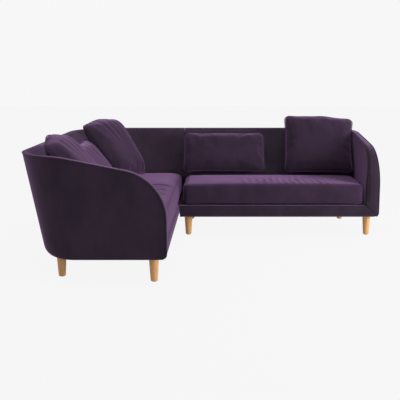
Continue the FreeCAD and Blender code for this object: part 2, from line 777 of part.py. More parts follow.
shells = {}
for module in (LEFT, RIGHT):
    name = module.name
    boards, panel, crosses = frame(module)
    keep(f"{name}_cross_rails", crosses)

    bolts = []
    legs = []
    for corner, (along, deep) in leg_places(module).items():
        x, y = module.spot(along, deep)
        bolts.append(bar(f"{name}_{corner}_bolt", 6, "bolt_radius", x, y, "clearance - bolt_drop",
                         "bolt_drop + bolt_rise"))
        legs.append(leg(f"{name}_{corner}_leg", module, along, deep))
        all_glides.append(bar(f"{name}_{corner}_glide", 12, "glide_radius", x, y, "0", "glide_thick"))
        all_plates.append(leg_plate(f"{name}_{corner}_plate", module, along, deep))
    all_bolts += bolts
    holders = group(f"{name}_holders", bolts)
    keep(f"{name}_legs", cut(f"{name}_legs", group(f"{name}_turned_legs", legs), holders))
    keep(f"{name}_corner_blocks", corner_blocks(module, holders))
    keep(f"{name}_arm_panel", cut(f"{name}_bored_panel", panel, holders))
    joint = "front_rail" if module is LEFT else "joint_rail"
    boards[joint] = cut(f"{name}_bored_{joint}", boards[joint], joining_bolts)
    for rail, board in boards.items():
        keep(f"{name}_{rail}", board)

    # back posts and the rails along their heads
    rear = boards["rear_rail"]
    if module is LEFT:
        back_posts = posts(LEFT, "left_post", (440, 880, 1320, 1700), rear)
        wall_posts = posts(LEFT, "left_wall_post", (52, 352), boards["wall_rear_rail"], True)
        heads = [leaning("left_back_head", LEFT, 440, 1320, 688, 54)]
        heads.append(leaning("left_wall_head", LEFT, 6, 440, 688, 54, True))
        timbers = back_posts + wall_posts
        keep("left_back_posts", group("left_back_posts", back_posts))
        keep("left_wall_posts", group("left_wall_posts", wall_posts))
        keep("left_back_head_rail", heads[0])
        keep("left_wall_head_rail", heads[1])
    else:
        timbers = posts(RIGHT, "right_post", (440, 820, 1180, 1490), rear)
        heads = [leaning("right_back_head", RIGHT, 440, RIGHT_RUN - 446, 688, 54)]
        keep("right_back_posts", group("right_back_posts", timbers))
        keep("right_back_head_rail", heads[0])

    # upholstery
    foot, head, rail_foot = size("clearance"), size("back_height"), size("rail_foot")
    rail_head = size("rail_head") + size("web_thick")
    hem = size("toe_radius")
    outside = skin_loft(module, "outside", outer_corners, SEEN_CHORDS, [(foot, 0, 0), (head, 0, 0)])
    inside = skin_loft(module, "inside", outer_corners, HIDDEN_CHORDS,
                       [(rail_foot, size("cover"), 40), (ABOVE, size("cover"), 40)])
    opening = skin_loft(module, "opening", outer_corners, HIDDEN_CHORDS,
                        [(BELOW, hem, 40), (rail_foot, hem, 40)])
    well = skin_loft(module, "well", well_corners, SEEN_CHORDS,
                     [(BELOW, 0), (size("lean_start"), 0), (ABOVE, 0)])
    behind = skin_loft(module, "behind", well_corners, HIDDEN_CHORDS,
                       [(rail_head, size("pad")), (size("lean_start"), size("pad")), (ABOVE, size("pad"))])
    skin, views = trimmed(module, outside)
    band, toe = arm_band(module)
    keep(f"{name}_outer_cover", cut(f"{name}_outer_skin", skin,
                                    fuse(f"{name}_lining", [inside, opening, band, toe])))
    keep(f"{name}_arm_border", cut(f"{name}_border_skin", common(f"{name}_border_blank", [skin, band]),
                                   fuse(f"{name}_border_trim", [well, mitre_wedge(module)])))
    layer = common(f"{name}_layer", [inside, behind, *views])
    hollow = fuse(f"{name}_hollow", [well, panel, band, *timbers, *heads])
    keep(f"{name}_inner_pad", cut(f"{name}_inner_skin", layer, hollow))
    keep(f"{name}_rail_border", rail_border(module, views))

    # the deck fills the well under the seat cushion, and the dust cloth the opening in the underside
    end = WALL_SEAT_SUM if module is LEFT else module.run
    deck = block(f"{name}_deck_sheet", module, ("arm_width", end), ("cover", "seat_depth"),
                 ("rail_head + web_thick", "deck_top"))
    keep(f"{name}_deck", common(f"{name}_deck_trimmed", [deck, well]))
    end = f"{WALL_FOOT_SUM} - toe_radius" if module is LEFT else f"{module.run} - 4"
    dust = block(f"{name}_dust_sheet", module, ("toe_radius", end), ("toe_radius + 4", "foot_depth - cover - 30"),
                 ("rail_foot - dust_thick", "rail_foot"))
    keep(f"{name}_dust_cloth", cut(f"{name}_dust_cut", common(f"{name}_dust_trimmed", [dust, opening]),
                                   fuse(f"{name}_fixings", [holders, joining_bolts])))


# Seats of the two modules

keep("left_webbing", webbing(LEFT, "left_webbing", size("arm_width") + 16, WALL_SEAT - 10))
keep("right_webbing", webbing(RIGHT, "right_webbing", size("arm_width") + 16, RIGHT_RUN - 10))
leg_bolts = keep("leg_bolts", group("leg_bolts", all_bolts))
keep("leg_plates", cut("leg_plates", group("leg_plate_blanks", all_plates), leg_bolts))
keep("leg_glides", group("leg_glides", all_glides))

# cushions
inner_arm = size("arm_width") + size("cushion_gap")
SEATS = (
    (LEFT, (inner_arm, WALL_SEAT - size("cushion_gap"))),
    (RIGHT, (inner_arm, RIGHT_RUN + size("module_gap") - size("cushion_shy"))),
)
for module, along in SEATS:
    wrap, core = seat_cushion(module, along)
    keep(f"{module.name}_seat_cushion_cover", wrap)
    keep(f"{module.name}_seat_cushion_core", core)

square, fat = size("square_side"), size("square_thick")
long_side, low_side, slim = size("lumbar_length"), size("lumbar_height"), size("lumbar_thick")
SCATTER = {
    "right_lumbar_cushion": (long_side, low_side, slim, (49, 715, 605), 0, 38, 0),
    "right_square_cushion": (square, square, fat, (838, 758, 672), -4, 38, 0),
    "corner_square_cushion": (square, square, fat, (-820, 480, 672), 68, 38, 0),
    "left_lumbar_cushion": (long_side, low_side, slim, (-927, -100, 605), 90, 38, 0),
    "near_square_cushion": (square, square, fat, (-915, -678, 668), 90, 41, 0),
}
for name, values in SCATTER.items():
    keep(name, scatter_cushion(name, *values))

# Check every object and write one file for each sub-part
doc.recompute()
for thing in doc.Objects:
    if {"Invalid", "Error"} & set(thing.State):
        raise RuntimeError(f"{thing.Name} failed: {thing.State}")
os.makedirs("parts", exist_ok=True)
for name, thing in nodes.items():
    shape = thing.Shape
    if shape.isNull() or not shape.isValid() or not shape.Solids:
        raise RuntimeError(f"{name} has no valid solid")
    shape.exportStep(f"parts/{name}.step")
    print(f"{name}: {len(shape.Solids)} solid(s), {shape.Volume / 1e6:.3f} litres")
print(f"{len(nodes)} sub-parts")
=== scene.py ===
# %% [markdown]
# # A velvet corner sofa
# The sofa stands in two modules that meet beside the inner corner. A hardwood and plywood frame
# carries the weight, and everything that is seen on it, apart from eight turned oak legs, is velvet
# over foam. The timber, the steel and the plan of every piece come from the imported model; this
# script makes the upholstery, the cushions and the finishes around them, in metres.

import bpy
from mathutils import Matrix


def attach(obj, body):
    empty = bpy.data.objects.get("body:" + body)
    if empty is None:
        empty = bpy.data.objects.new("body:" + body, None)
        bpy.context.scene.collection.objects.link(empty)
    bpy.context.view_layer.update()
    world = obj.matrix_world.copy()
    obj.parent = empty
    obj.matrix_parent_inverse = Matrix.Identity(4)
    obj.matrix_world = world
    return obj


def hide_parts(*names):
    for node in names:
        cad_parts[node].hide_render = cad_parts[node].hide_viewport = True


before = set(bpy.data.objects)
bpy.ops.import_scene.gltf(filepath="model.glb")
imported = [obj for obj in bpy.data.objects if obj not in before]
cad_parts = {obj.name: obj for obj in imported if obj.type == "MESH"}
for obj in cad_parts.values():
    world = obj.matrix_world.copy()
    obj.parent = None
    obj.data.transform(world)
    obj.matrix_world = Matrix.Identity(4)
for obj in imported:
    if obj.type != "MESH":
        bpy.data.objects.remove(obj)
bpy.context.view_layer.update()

# %% Tools used all through
import math
import time

import bmesh
import bpy
from mathutils import Matrix, Vector, noise

scene = bpy.context.scene
SIDES = ("left", "right")

# %% [markdown]
# ## The camera
# A camera at a little above eye level when seated, tipped down by ten degrees, sees the sofa from
# the front with its left module running towards the viewer. Placing it by its real height and
# distance, and not by eye, keeps every later comparison with the photograph honest. The small shift
# only moves the picture in its frame.

# %% Camera
camera_data = bpy.data.cameras.new("camera")
camera_data.sensor_width = 36
camera_data.lens = 62.6
camera_data.shift_x = -0.0545
camera_data.shift_y = -0.0203
camera = bpy.data.objects.new("camera", camera_data)
camera.location = (0.0305, -5.1945, 1.30)
camera.rotation_euler = (math.radians(80), 0, 0)
scene.collection.objects.link(camera)
scene.camera = camera
print("camera", tuple(round(v, 2) for v in camera.location), "lens", camera_data.lens)

# %% [markdown]
# ## One way to write nodes
# Materials here are node trees. A short helper adds a node and sets its sockets by name, so that
# each finish below reads as a list of what it is made of.

# %% Node helpers
def new_finish(name):
    finish = bpy.data.materials.new(name)
    finish.use_nodes = True
    tree = finish.node_tree
    return finish, tree, tree.nodes["Principled BSDF"]


def add_node(tree, kind, **values):
    """Sets sockets by name, and whatever isn't a socket as a property of the node."""
    node = tree.nodes.new(kind)
    for key, value in values.items():
        if key in node.inputs:
            node.inputs[key].default_value = value
        else:
            setattr(node, key, value)
    return node


def wire(node, out, other, into):
    node.id_data.links.new(node.outputs[out], other.inputs[into])


def grain_noise(tree, scale, detail=3, stretch=(1, 1, 1), roughness=0.5):
    """Noise in metres of the sofa; a stretch below 1 draws the grain out along that axis."""
    mapping = add_node(tree, "ShaderNodeMapping", Scale=stretch)
    wire(add_node(tree, "ShaderNodeTexCoord"), "Object", mapping, "Vector")
    texture = add_node(tree, "ShaderNodeTexNoise", Scale=scale, Detail=detail, Roughness=roughness)
    wire(mapping, "Vector", texture, "Vector")
    return texture


def colour_ramp(texture, stops):
    """A ramp over a texture, through (place, colour) stops."""
    ramp = add_node(texture.id_data, "ShaderNodeValToRGB")
    while len(ramp.color_ramp.elements) < len(stops):
        ramp.color_ramp.elements.new(0.5)
    for element, (place, colour) in zip(ramp.color_ramp.elements, stops):
        element.position = place
        element.color = (*colour, 1)
    wire(texture, "Fac", ramp, "Fac")
    return ramp


def bump(texture, strength, distance, below=None):
    node = add_node(texture.id_data, "ShaderNodeBump", Strength=strength, Distance=distance)
    wire(texture, "Fac", node, "Height")
    if below:
        wire(below, "Normal", node, "Normal")
    return node


# %% [markdown]
# ## Velvet
# Velvet is a dense pile of short fibres standing on a woven back. Looked at straight on, the light
# goes down between the fibres and the cloth is dark; at a grazing angle only their tips show and
# the cloth glows. A plain diffuse colour can't do that, and painting the glow would only be right
# from one side. The sheen layer of the shader does it from every side. Slow noise leans the pile
# in soft patches, and fine noise is the pile itself.

# %% Velvet finish
def velvet_finish(name, colour, glow):
    finish, tree, shader = new_finish(name)
    patches = grain_noise(tree, 7.0, 2, (1, 1, 0.6))
    dark, light = (tuple(c * share for c in colour) for share in (0.86, 1.16))
    wire(colour_ramp(patches, [(0.34, dark), (0.66, light)]), "Color", shader, "Base Color")
    brushed = grain_noise(tree, 46.0, 3, (1, 1, 0.35))
    rough = colour_ramp(brushed, [(0.3, (0.80,) * 3), (0.7, (0.93,) * 3)])
    wire(rough, "Color", shader, "Roughness")
    pile = grain_noise(tree, 900.0, 2, (1, 1, 0.5))
    relief = bump(pile, 0.25, 0.0006, bump(brushed, 0.10, 0.004))
    wire(relief, "Normal", shader, "Normal")
    shader.inputs["Specular IOR Level"].default_value = 0.15
    shader.inputs["Sheen Weight"].default_value = 1.0
    shader.inputs["Sheen Roughness"].default_value = 0.42
    shader.inputs["Sheen Tint"].default_value = (*glow, 1)
    return finish


velvet_cover = velvet_finish("velvet_cover", (0.0335, 0.0215, 0.0370), (0.44, 0.235, 0.50))
velvet_seat = velvet_finish("velvet_seat", (0.041, 0.0225, 0.0465), (0.43, 0.225, 0.50))
velvet_cushion = velvet_finish("velvet_cushion", (0.034, 0.019, 0.0390), (0.47, 0.25, 0.54))
print("velvet", velvet_cover.name, velvet_seat.name, velvet_cushion.name)

# %% [markdown]
# ## Oak for the legs, beech and plywood for the frame
# Turned oak shows long fine grain that runs down the leg, short dark pores and a warm variation
# from one growth ring to the next. Noise that is stretched forty times along the leg gives the
# grain without any picture of wood. The frame timber is plainer beech, and the arm panels are
# plywood, whose plies show as stripes across the thickness.

# %% Wood finishes
def wood_finish(name, dark, light, along, scale, pores, roughness):
    finish, tree, shader = new_finish(name)
    stretch = [1.0, 1.0, 1.0]
    stretch[along] = 0.045
    rings = grain_noise(tree, scale, 4, stretch, 0.62)
    wood = colour_ramp(rings, [(0.30, dark), (0.52, light), (0.72, dark)])
    speck = grain_noise(tree, scale * 9, 2, stretch)
    pore = colour_ramp(speck, [(0.30, (1 - pores,) * 3), (0.42, (1, 1, 1))])
    blend = add_node(tree, "ShaderNodeMix", data_type="RGBA", blend_type="MULTIPLY")
    blend.inputs[0].default_value = 1.0
    wire(wood, "Color", blend, 6)
    wire(pore, "Color", blend, 7)
    wire(blend, 2, shader, "Base Color")
    wire(bump(speck, 0.12, 0.0008), "Normal", shader, "Normal")
    shader.inputs["Roughness"].default_value = roughness
    return finish


oak_leg = wood_finish("oak_leg", (0.66, 0.31, 0.100), (0.86, 0.47, 0.185), 2, 95.0, 0.22, 0.42)
beech_frame = wood_finish("beech_frame", (0.50, 0.32, 0.19), (0.62, 0.43, 0.27), 0, 60.0, 0.12, 0.7)


def plywood_finish(name):
    finish, tree, shader = new_finish(name)
    plies = add_node(tree, "ShaderNodeTexWave", bands_direction="Y", Scale=70.0, Distortion=0.3)
    wire(add_node(tree, "ShaderNodeTexCoord"), "Object", plies, "Vector")
    stripes = colour_ramp(plies, [(0.3, (0.42, 0.27, 0.15)), (0.7, (0.66, 0.48, 0.30))])
    wire(stripes, "Color", shader, "Base Color")
    shader.inputs["Roughness"].default_value = 0.75
    return finish


plywood = plywood_finish("plywood")


# %% [markdown]
# ## Cloths, foam and steel that are hidden or seen only from below
# The deck cloth, dust cloth, webbing, felt glides and foam cores each have their own plain finish.
# They are what a reader finds when the cushions are lifted or the sofa is tipped over.

# %% Plain finishes
def plain_finish(name, dark, light, scale, roughness, relief, metallic=0.0, stretch=(1, 1, 1)):
    finish, tree, shader = new_finish(name)
    texture = grain_noise(tree, scale, 3, stretch)
    wire(colour_ramp(texture, [(0.35, dark), (0.65, light)]), "Color", shader, "Base Color")
    wire(bump(texture, 0.3, relief), "Normal", shader, "Normal")
    shader.inputs["Roughness"].default_value = roughness
    shader.inputs["Metallic"].default_value = metallic
    return finish


deck_cloth = plain_finish("deck_cloth", (0.030, 0.022, 0.034), (0.045, 0.034, 0.050), 700.0, 0.9, 0.0006)
dust_cloth = plain_finish("dust_cloth", (0.018, 0.018, 0.019), (0.030, 0.030, 0.032), 500.0, 0.95, 0.0004)
web_finish = plain_finish("webbing", (0.35, 0.31, 0.25), (0.50, 0.45, 0.37), 420.0, 0.85, 0.0008,
                          stretch=(1, 0.2, 1))
foam_core = plain_finish("foam_core", (0.74, 0.70, 0.58), (0.84, 0.80, 0.68), 600.0, 0.95, 0.0008)
zinc_steel = plain_finish("zinc_steel", (0.50, 0.51, 0.53), (0.68, 0.69, 0.70), 240.0, 0.38, 0.0002, 1.0)
felt_glide = plain_finish("felt_glide", (0.10, 0.09, 0.085), (0.16, 0.15, 0.14), 800.0, 0.98, 0.0008)
print("finishes", len(bpy.data.materials))

# %% [markdown]
# ## From rows of points to cloth
# Almost every upholstered face is a grid: rows of points that run along the piece, and columns that
# run across it. A second grid just behind it closes it into a thin padded body, which has the
# thickness that velvet over foam has, and which looks right at its edges as well.

# %% Mesh helpers
def made(name, points, faces, finish, sharp=55):
    """A piece with one finish, smooth but at edges that turn more sharply than an angle."""
    mesh = bpy.data.meshes.new(name)
    mesh.from_pydata(points, [], faces)
    mesh.validate()
    work = bmesh.new()
    work.from_mesh(mesh)
    bmesh.ops.recalc_face_normals(work, faces=work.faces)
    work.to_mesh(mesh)
    work.free()
    mesh.shade_smooth()
    mesh.set_sharp_from_angle(angle=math.radians(sharp))
    mesh.materials.append(finish)
    piece = bpy.data.objects.new(name, mesh)
    scene.collection.objects.link(piece)
    return piece


def soft_body(name, points, faces, finish):
    """A cushion's piece, with one round of smoothing."""
    piece = made(name, points, faces, finish, 180)
    rounder = piece.modifiers.new("smooth", "SUBSURF")
    rounder.levels = rounder.render_levels = 1
    return piece


def dress(kind, make):
    """Makes a padded piece for each side, in place of the solid that it stands for."""
    pieces = {side: make(side) for side in SIDES}
    for side, piece in pieces.items():
        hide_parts(f"{side}_{kind}")
        print(piece.name, len(piece.data.vertices), "points")
    return pieces


def rim_steps(wide, high):
    """The points round the rim of a grid that is so many squares wide and high."""
    steps = [(i, 0) for i in range(wide)] + [(wide, j) for j in range(high)]
    return steps + [(i, high) for i in range(wide, 0, -1)] + [(0, j) for j in range(high, 0, -1)]


def slab(name, face, lining, finish, sharp=55):
    """A closed, thin padded sheet from two grids of points with the same rows and columns."""
    rows, columns = len(face), len(face[0])
    under = rows * columns
    quads = []
    for i in range(rows - 1):
        for j in range(columns - 1):
            a, b = i * columns + j, (i + 1) * columns + j
            quads.append((a, a + 1, b + 1, b))
            quads.append((under + a, under + b, under + b + 1, under + a + 1))
    rim = [j * columns + i for i, j in rim_steps(columns - 1, rows - 1)]
    for a, b in zip(rim, rim[1:] + rim[:1]):
        quads.append((b, a, under + a, under + b))
    return made(name, [p for row in (*face, *lining) for p in row], quads, finish, sharp)


def ring_faces(rings, sides, base=0, closed=False):
    """Faces between rings of points that follow each other, with flat ends unless closed."""
    faces = []
    for i in range(rings if closed else rings - 1):
        a, b = base + i * sides, base + (i + 1) % rings * sides
        faces += [(a + k, a + (k + 1) % sides, b + (k + 1) % sides, b + k) for k in range(sides)]
    if not closed:
        faces.append(tuple(base + k for k in range(sides)))
        faces.append(tuple(base + (rings - 1) * sides + k for k in reversed(range(sides))))
    return faces


def tube(name, path, radius, finish, closed=False, sides=8):
    """A cord of velvet along a path, its rings turned to follow it."""
    points = [Vector(p) for p in path]
    count = len(points)
    rings = []
    across = None
    for i, here in enumerate(points):
        after = points[(i + 1) % count] if closed or i < count - 1 else here
        before = points[i - 1] if closed or i else here
        run = (after - before).normalized()
        if across is None:
            across = run.orthogonal().normalized()
        across = (across - run * across.dot(run)).normalized()
        up = run.cross(across)
        rings.append([here + (across * math.cos(a) + up * math.sin(a)) * radius
                      for a in (math.tau * k / sides for k in range(sides))])
    faces = ring_faces(count, sides, closed=closed)
    return made(name, [p for ring in rings for p in ring], faces, finish, 70)


def smooth(value):
    value = min(1.0, max(0.0, value))
    return value * value * (3 - 2 * value)


def mix(first, second, share):
    return first + (second - first) * share


# %% [markdown]
# ## The plan of the shell
# The back and the arm are one continuous leaning wall, the hardest part of this sofa to build. At
# the floor its outer corner is tight and at the top it is wide, so the wall is nearly a cone
# there. Its plan at any height is two straight lines and a round corner, and both the lines and
# the radius change evenly with height. The same rule gives the outer face and, with other numbers,
# the face on the seat side.

# %% Plans at any height
HALF_WIDTH, HALF_DEPTH = 1.260, 1.100
LEFT_FRONT, RIGHT_FRONT = -0.304, 0.145
FOOT, TOP, RAIL_TOP = 0.152, 0.777, 0.250
RIGHT_RUN = HALF_WIDTH - LEFT_FRONT - 0.003
WALL_SHIFT = RIGHT_FRONT + HALF_DEPTH
SEAT_DEEP, ARM_WIDE = 0.541, 0.106
ARM_TOP, LEAN_FROM = 0.050, 0.435  # width of the arm at the top, and where its inner face starts to lean
OUTER_DEEP, OUTER_ROUND = (0.779, 0.959), (0.212, 0.379)  # at the foot and at the top
INNER_DEEP, INNER_ROUND = (SEAT_DEEP, 0.922), (0.060, 0.342)
SIDE_SLOPE = 0.095 / 0.955
SEAT_RUN = {"left": WALL_SHIFT + SEAT_DEEP, "right": RIGHT_RUN}


def place(side, along, deep, height):
    """Along is from the outside of the arm, deep is from the front plane of that module."""
    if side == "left":
        return Vector((LEFT_FRONT - deep, along - HALF_DEPTH, height))
    return Vector((HALF_WIDTH - along, RIGHT_FRONT + deep, height))


def outer_plan(height, inset=0.0):
    """Side, slope, depth and corner radius of the outer face at a height."""
    share = (height - FOOT) / (TOP - FOOT)
    return inset, SIDE_SLOPE * share, mix(*OUTER_DEEP, share) - inset, mix(*OUTER_ROUND, share) - inset


def inner_plan(height, into=0.0):
    """The same of the face on the seat side, moved into the wall by a thickness."""
    share = (height - LEAN_FROM) / (TOP - LEAN_FROM)
    bend = 0.0006
    share = min(1.0, 0.5 * (share + math.sqrt(share * share + bend)))
    return (mix(ARM_WIDE, ARM_TOP, share) - into, SIDE_SLOPE * share, mix(*INNER_DEEP, share) + into,
            mix(*INNER_ROUND, share) + into)


def plan_point(side, plan, part, share, front=0.0):
    """A point of a plan: on the arm, round the corner, along the back, round again, along the wall."""
    start, slope, deep, radius = plan
    length = math.hypot(1, slope)
    half = math.acos(-slope / length) / 2
    corner = start + slope * deep
    reach = radius / math.tan(half)
    first = (corner - slope / length * reach, deep - reach / length)
    if part == "arm":
        here = front + share * (first[1] - front)
        return start + slope * here, here
    centre = (corner + reach, deep - radius)
    if part == "turn":
        sweep = (math.pi - 2 * half) * share
        x, y = first[0] - centre[0], first[1] - centre[1]
        return (centre[0] + x * math.cos(sweep) + y * math.sin(sweep),
                centre[1] - x * math.sin(sweep) + y * math.cos(sweep))
    if side == "right":
        return mix(corner + reach, RIGHT_RUN, share), deep
    wall = WALL_SHIFT + deep
    if part == "back":
        return mix(corner + reach, wall - radius, share), deep
    if part == "far_turn":
        turn = share * math.pi / 2
        return wall - radius + radius * math.sin(turn), deep - radius + radius * math.cos(turn)
    return wall, mix(deep - radius, 0.0, share)


def arm_start(plan):
    """How deep the round corner of a plan begins."""
    return plan_point("right", plan, "arm", 1.0)[1]


# %% [markdown]
# ## The line of the arm
# Seen from outside, the arm rises straight, turns a wide shoulder, climbs gently towards the back
# and blends into its level top. A maker would draw it once on the plywood and cut both arms from
# it. Here it is a path with, at each point, the direction into the arm.

# %% Ridge of the arm and back
SHOULDER, BLEND, TOE = 0.305, 0.900, 0.040  # radii
ARM_HEAD, ARM_SLOPE = 0.654, 0.184
RISE = math.atan(ARM_SLOPE)
SHOULDER_FOOT = ARM_HEAD - SHOULDER * math.tan((math.pi / 2 - RISE) / 2)
LEVEL_FROM = (TOP - ARM_HEAD) / ARM_SLOPE + BLEND * math.tan(RISE / 2)
CLIMB_TO = LEVEL_FROM - BLEND * math.sin(RISE)


def ridge_height(deep):
    """Height of the arm's top line at a depth behind the front plane."""
    if deep < SHOULDER * (1 - math.sin(RISE)):
        return SHOULDER_FOOT + math.sqrt(max(0, SHOULDER ** 2 - (SHOULDER - deep) ** 2))
    if deep < CLIMB_TO:
        return ARM_HEAD + ARM_SLOPE * deep
    if deep < LEVEL_FROM:
        return TOP - BLEND + math.sqrt(BLEND ** 2 - (LEVEL_FROM - deep) ** 2)
    return TOP


def toe_inset(height):
    """How far a face has turned under at a height near its foot."""
    drop = FOOT + TOE - height
    return TOE - math.sqrt(max(0, TOE ** 2 - drop ** 2)) if drop > 0 else 0.0


def ridge_stations(side):
    """Places along the ridge: (part, share, deep, height, into deep, into height)."""
    stations = []
    toe_heights = (0.1645, 0.170, 0.177, 0.185, 0.193)
    for height in toe_heights:
        lean = max(0.0, (FOOT + TOE - height) / TOE)
        stations.append(("front", 0, toe_inset(height), height, math.sqrt(1 - lean ** 2), lean))
    for k in range(1, 9):
        height = mix(toe_heights[-1], SHOULDER_FOOT, k / 9)
        stations.append(("front", 0, 0.0, height, 1.0, 0.0))
    for k in range(19):
        turn = (math.pi / 2 - RISE) * k / 18
        deep = SHOULDER * (1 - math.cos(turn))
        height = SHOULDER_FOOT + SHOULDER * math.sin(turn)
        stations.append(("arm", deep / arm_start(outer_plan(height)), deep, height,
                         math.cos(turn), -math.sin(turn)))
    first = stations[-1][2]
    arm_end = 0.575
    last = arm_start(outer_plan(ridge_height(arm_end)))
    for k in range(1, 15):
        deep = mix(first, last, k / 14)
        height = ridge_height(deep)
        stations.append(("arm", deep / arm_start(outer_plan(height)), deep, height, math.sin(RISE), -1.0))
    parts = [("turn", 18), ("back", 26)]
    if side == "left":
        parts += [("far_turn", 18), ("wall", 14)]
    for part, count in parts:
        for k in range(1, count + 1):
            height = TOP
            for _ in range(3 if part == "turn" else 1):
                deep = plan_point(side, outer_plan(height), part, k / count)[1]
                height = ridge_height(deep) if part == "turn" else TOP
            stations.append((part, k / count, deep, height, 0.0, -1.0))
    return stations


def mitre(height):
    """Where the diagonal seam between the arm's border and the front border is, below the rail's top."""
    return (height - FOOT) * ARM_WIDE / (RAIL_TOP - FOOT)


def on_ridge(side, station, across, into):
    """A point near the ridge: across is 0 at its outer edge and 1 at its inner edge."""
    part, share, deep, height, into_deep, into_height = station
    here, level = deep + into_deep * into, height + into_height * into
    if part in ("front", "arm"):
        out, slope = outer_plan(level)[:2]
        outer = out + slope * here + toe_inset(level)
        start, slope = inner_plan(level)[:2]
        inner = start + slope * here
        if level < RAIL_TOP:
            inner = mitre(level)
        return place(side, mix(outer, inner, across), here, level)
    outer = plan_point(side, outer_plan(level), part, share)
    inner = plan_point(side, inner_plan(level), part, share)
    return place(side, mix(outer[0], inner[0], across), mix(outer[1], inner[1], across), level)


ridges = {side: ridge_stations(side) for side in SIDES}
print("stations along the ridges", {side: len(found) for side, found in ridges.items()})

# %% [markdown]
# ## The border along the ridge
# A strip of velvet runs up the front of each arm, over the shoulder and along the top of the back.
# It is wide at the front and narrows as the arm sweeps in. Its outer edge is sewn to the outside
# with a corded seam, and its inner edge rolls softly over the padding. A flat ribbon would look
# like card, so each cross-section has a low crown, a tucked edge and a rolled one.

# %% Border strips
def ridge_width(side, station):
    return (on_ridge(side, station, 1, 0) - on_ridge(side, station, 0, 0)).length


def border_section(side, station):
    """Across and into values of one cross-section, from the corded seam to the seat side."""
    wide = ridge_width(side, station)
    crown = min(0.005, wide * 0.04)
    roll = min(0.024, wide * 0.34)
    if station[3] < 0.285 and station[0] == "front":
        roll = mix(0.0015, roll, smooth((station[3] - RAIL_TOP) / 0.035))
    section = [(0.0025, 0.0050), (0.0030, 0.0030), (0.0050, 0.0010), (0.0085, -0.0002)]
    section = [(min(x / wide, 0.3 * (i + 1) / 4), into) for i, (x, into) in enumerate(section)]
    for share in (0.25, 0.40, 0.55, 0.70):
        section.append((share, -crown * math.sin(math.pi * share)))
    section.append((1 - 1.6 * roll / wide if wide > 4 * roll else 0.8, -crown * 0.45))
    for turn in (0.0, 0.35, 0.7, 1.05, 1.4, math.pi / 2):
        across = 1 - (roll - roll * math.sin(turn)) / wide
        section.append((across, roll - roll * math.cos(turn) - 0.0006 * (1 - turn)))
    section.append((1 - 0.0016 / wide, roll + 0.004))
    section.append((1 - 0.0040 / wide, roll + 0.007))
    return section


def border_strip(side):
    face, lining = [], []
    for station in ridges[side]:
        section = border_section(side, station)
        face.append([on_ridge(side, station, across, into) for across, into in section])
        lining.append([on_ridge(side, station, mix(across, 0.5, 0.22), into + 0.006)
                       for across, into in section])
    return slab(f"{side}_border", face, lining, velvet_cover)


borders = dress("arm_border", border_strip)

# %% [markdown]
# ## The corded seam
# The outside and the border meet in a seam with a thin cord in it. It catches the light all along
# the ridge, and it is what makes the outline crisp. A tube that follows the ridge is enough.

# %% Corded seams
def ridge_cord(side):
    path = [on_ridge(side, station, 0.0, 0.0012) for station in ridges[side]]
    return tube(f"{side}_ridge_cord", path, 0.0034, velvet_cover)


cords = {side: ridge_cord(side) for side in SIDES}

# %% [markdown]
# ## The outside of the arm and back
# The outside is one taut panel that wraps the arm and the back, and turns under at the bottom to
# be stapled to the frame. At the front and beside the arm it turns under with a tight roll, and
# behind with a wider one. The rows follow the height and the roll, so the panel leans and turns
# as the plan does.

# %% Outside panels
ARM_ROLL, HEEL = 0.018, 0.080
HEEL_LEAN = math.atan((OUTER_DEEP[1] - OUTER_DEEP[0]) / (TOP - FOOT))
EDGE_TUCK = 0.0022


def lower_roll(part, share):
    """Radius of the lower roll, and lean of the wall above it."""
    way = {"arm": 0.0, "turn": smooth(share)}.get(part, 1.0)
    return mix(ARM_ROLL, HEEL, way), mix(0.0, HEEL_LEAN, way)


def column_head(station, edge, plan_at, starts, roll=0.0, drop=0.0):
    """The points of a column just under its seam, as (share, level, tuck), and the tuck below them."""
    part, share, deep, height, into_deep, into_height = station
    edge_tuck = 0.0 if edge is None else EDGE_TUCK * (1 - edge / starts[-1][0])
    points = []
    for start, tuck in starts:
        level = height + into_height * (roll + start)
        here = deep + into_deep * (roll + start)
        if part == "arm":
            if edge is not None:
                here, level, tuck = edge + roll, height - drop, max(tuck, edge_tuck)
            share = here / arm_start(plan_at(level))
        points.append((share, level, tuck))
    return points, edge_tuck


def outside_column(side, station, edge, into):
    """One column of the outside, from the ridge down and under; into is how far inside the face."""
    part = station[0]
    starts = [(0.0035, EDGE_TUCK), (0.0050, 0.0008), (0.0085, 0.0)]
    points, tuck = column_head(station, edge, outer_plan, starts)
    share, level = points[-1][:2]
    radius, lean = lower_roll(part, share)
    roll_top = FOOT + radius * (1 - math.sin(lean))
    for k in range(1, 19):
        points.append((share, mix(level, roll_top, k / 18), tuck))
    for k in range(1, 9):
        turn = mix(lean, math.pi / 2, k / 8)
        inset = radius * (1 / math.cos(lean) - math.cos(turn) - math.tan(lean) * math.sin(turn))
        points.append((share, FOOT + radius * (1 - math.sin(turn)), inset + tuck))
    points.append((share, FOOT + 0.0012, points[-1][2] + 0.012))
    column = []
    for share, level, inset in points:
        turned_under = into if level < FOOT + 0.02 else 0.0
        plan = outer_plan(max(level, FOOT), inset + into * (1 - turned_under / max(into, 1e-6)))
        front = toe_inset(level) if part == "arm" else 0.0
        if part == "arm" and level < FOOT + 0.0015:
            front = 0.045
        along, here = plan_point(side, plan, part, share, front)
        column.append(place(side, along, here, level + turned_under))
    return column


def wall_panel(name, side, column, first_edges, thick):
    """A panel along the arm and back; its first columns lie close to the front edge of the arm."""
    stations = [s for s in ridges[side] if s[0] != "front"]
    edges = [(stations[0], edge) for edge in first_edges] + [(s, None) for s in stations]
    face, lining = ([column(side, s, edge, into) for s, edge in edges] for into in (0.0, thick))
    return slab(f"{side}_{name}", face, lining, velvet_cover)


def outside_panel(side):
    return wall_panel("outside", side, outside_column, (0.0022, 0.0050), 0.005)


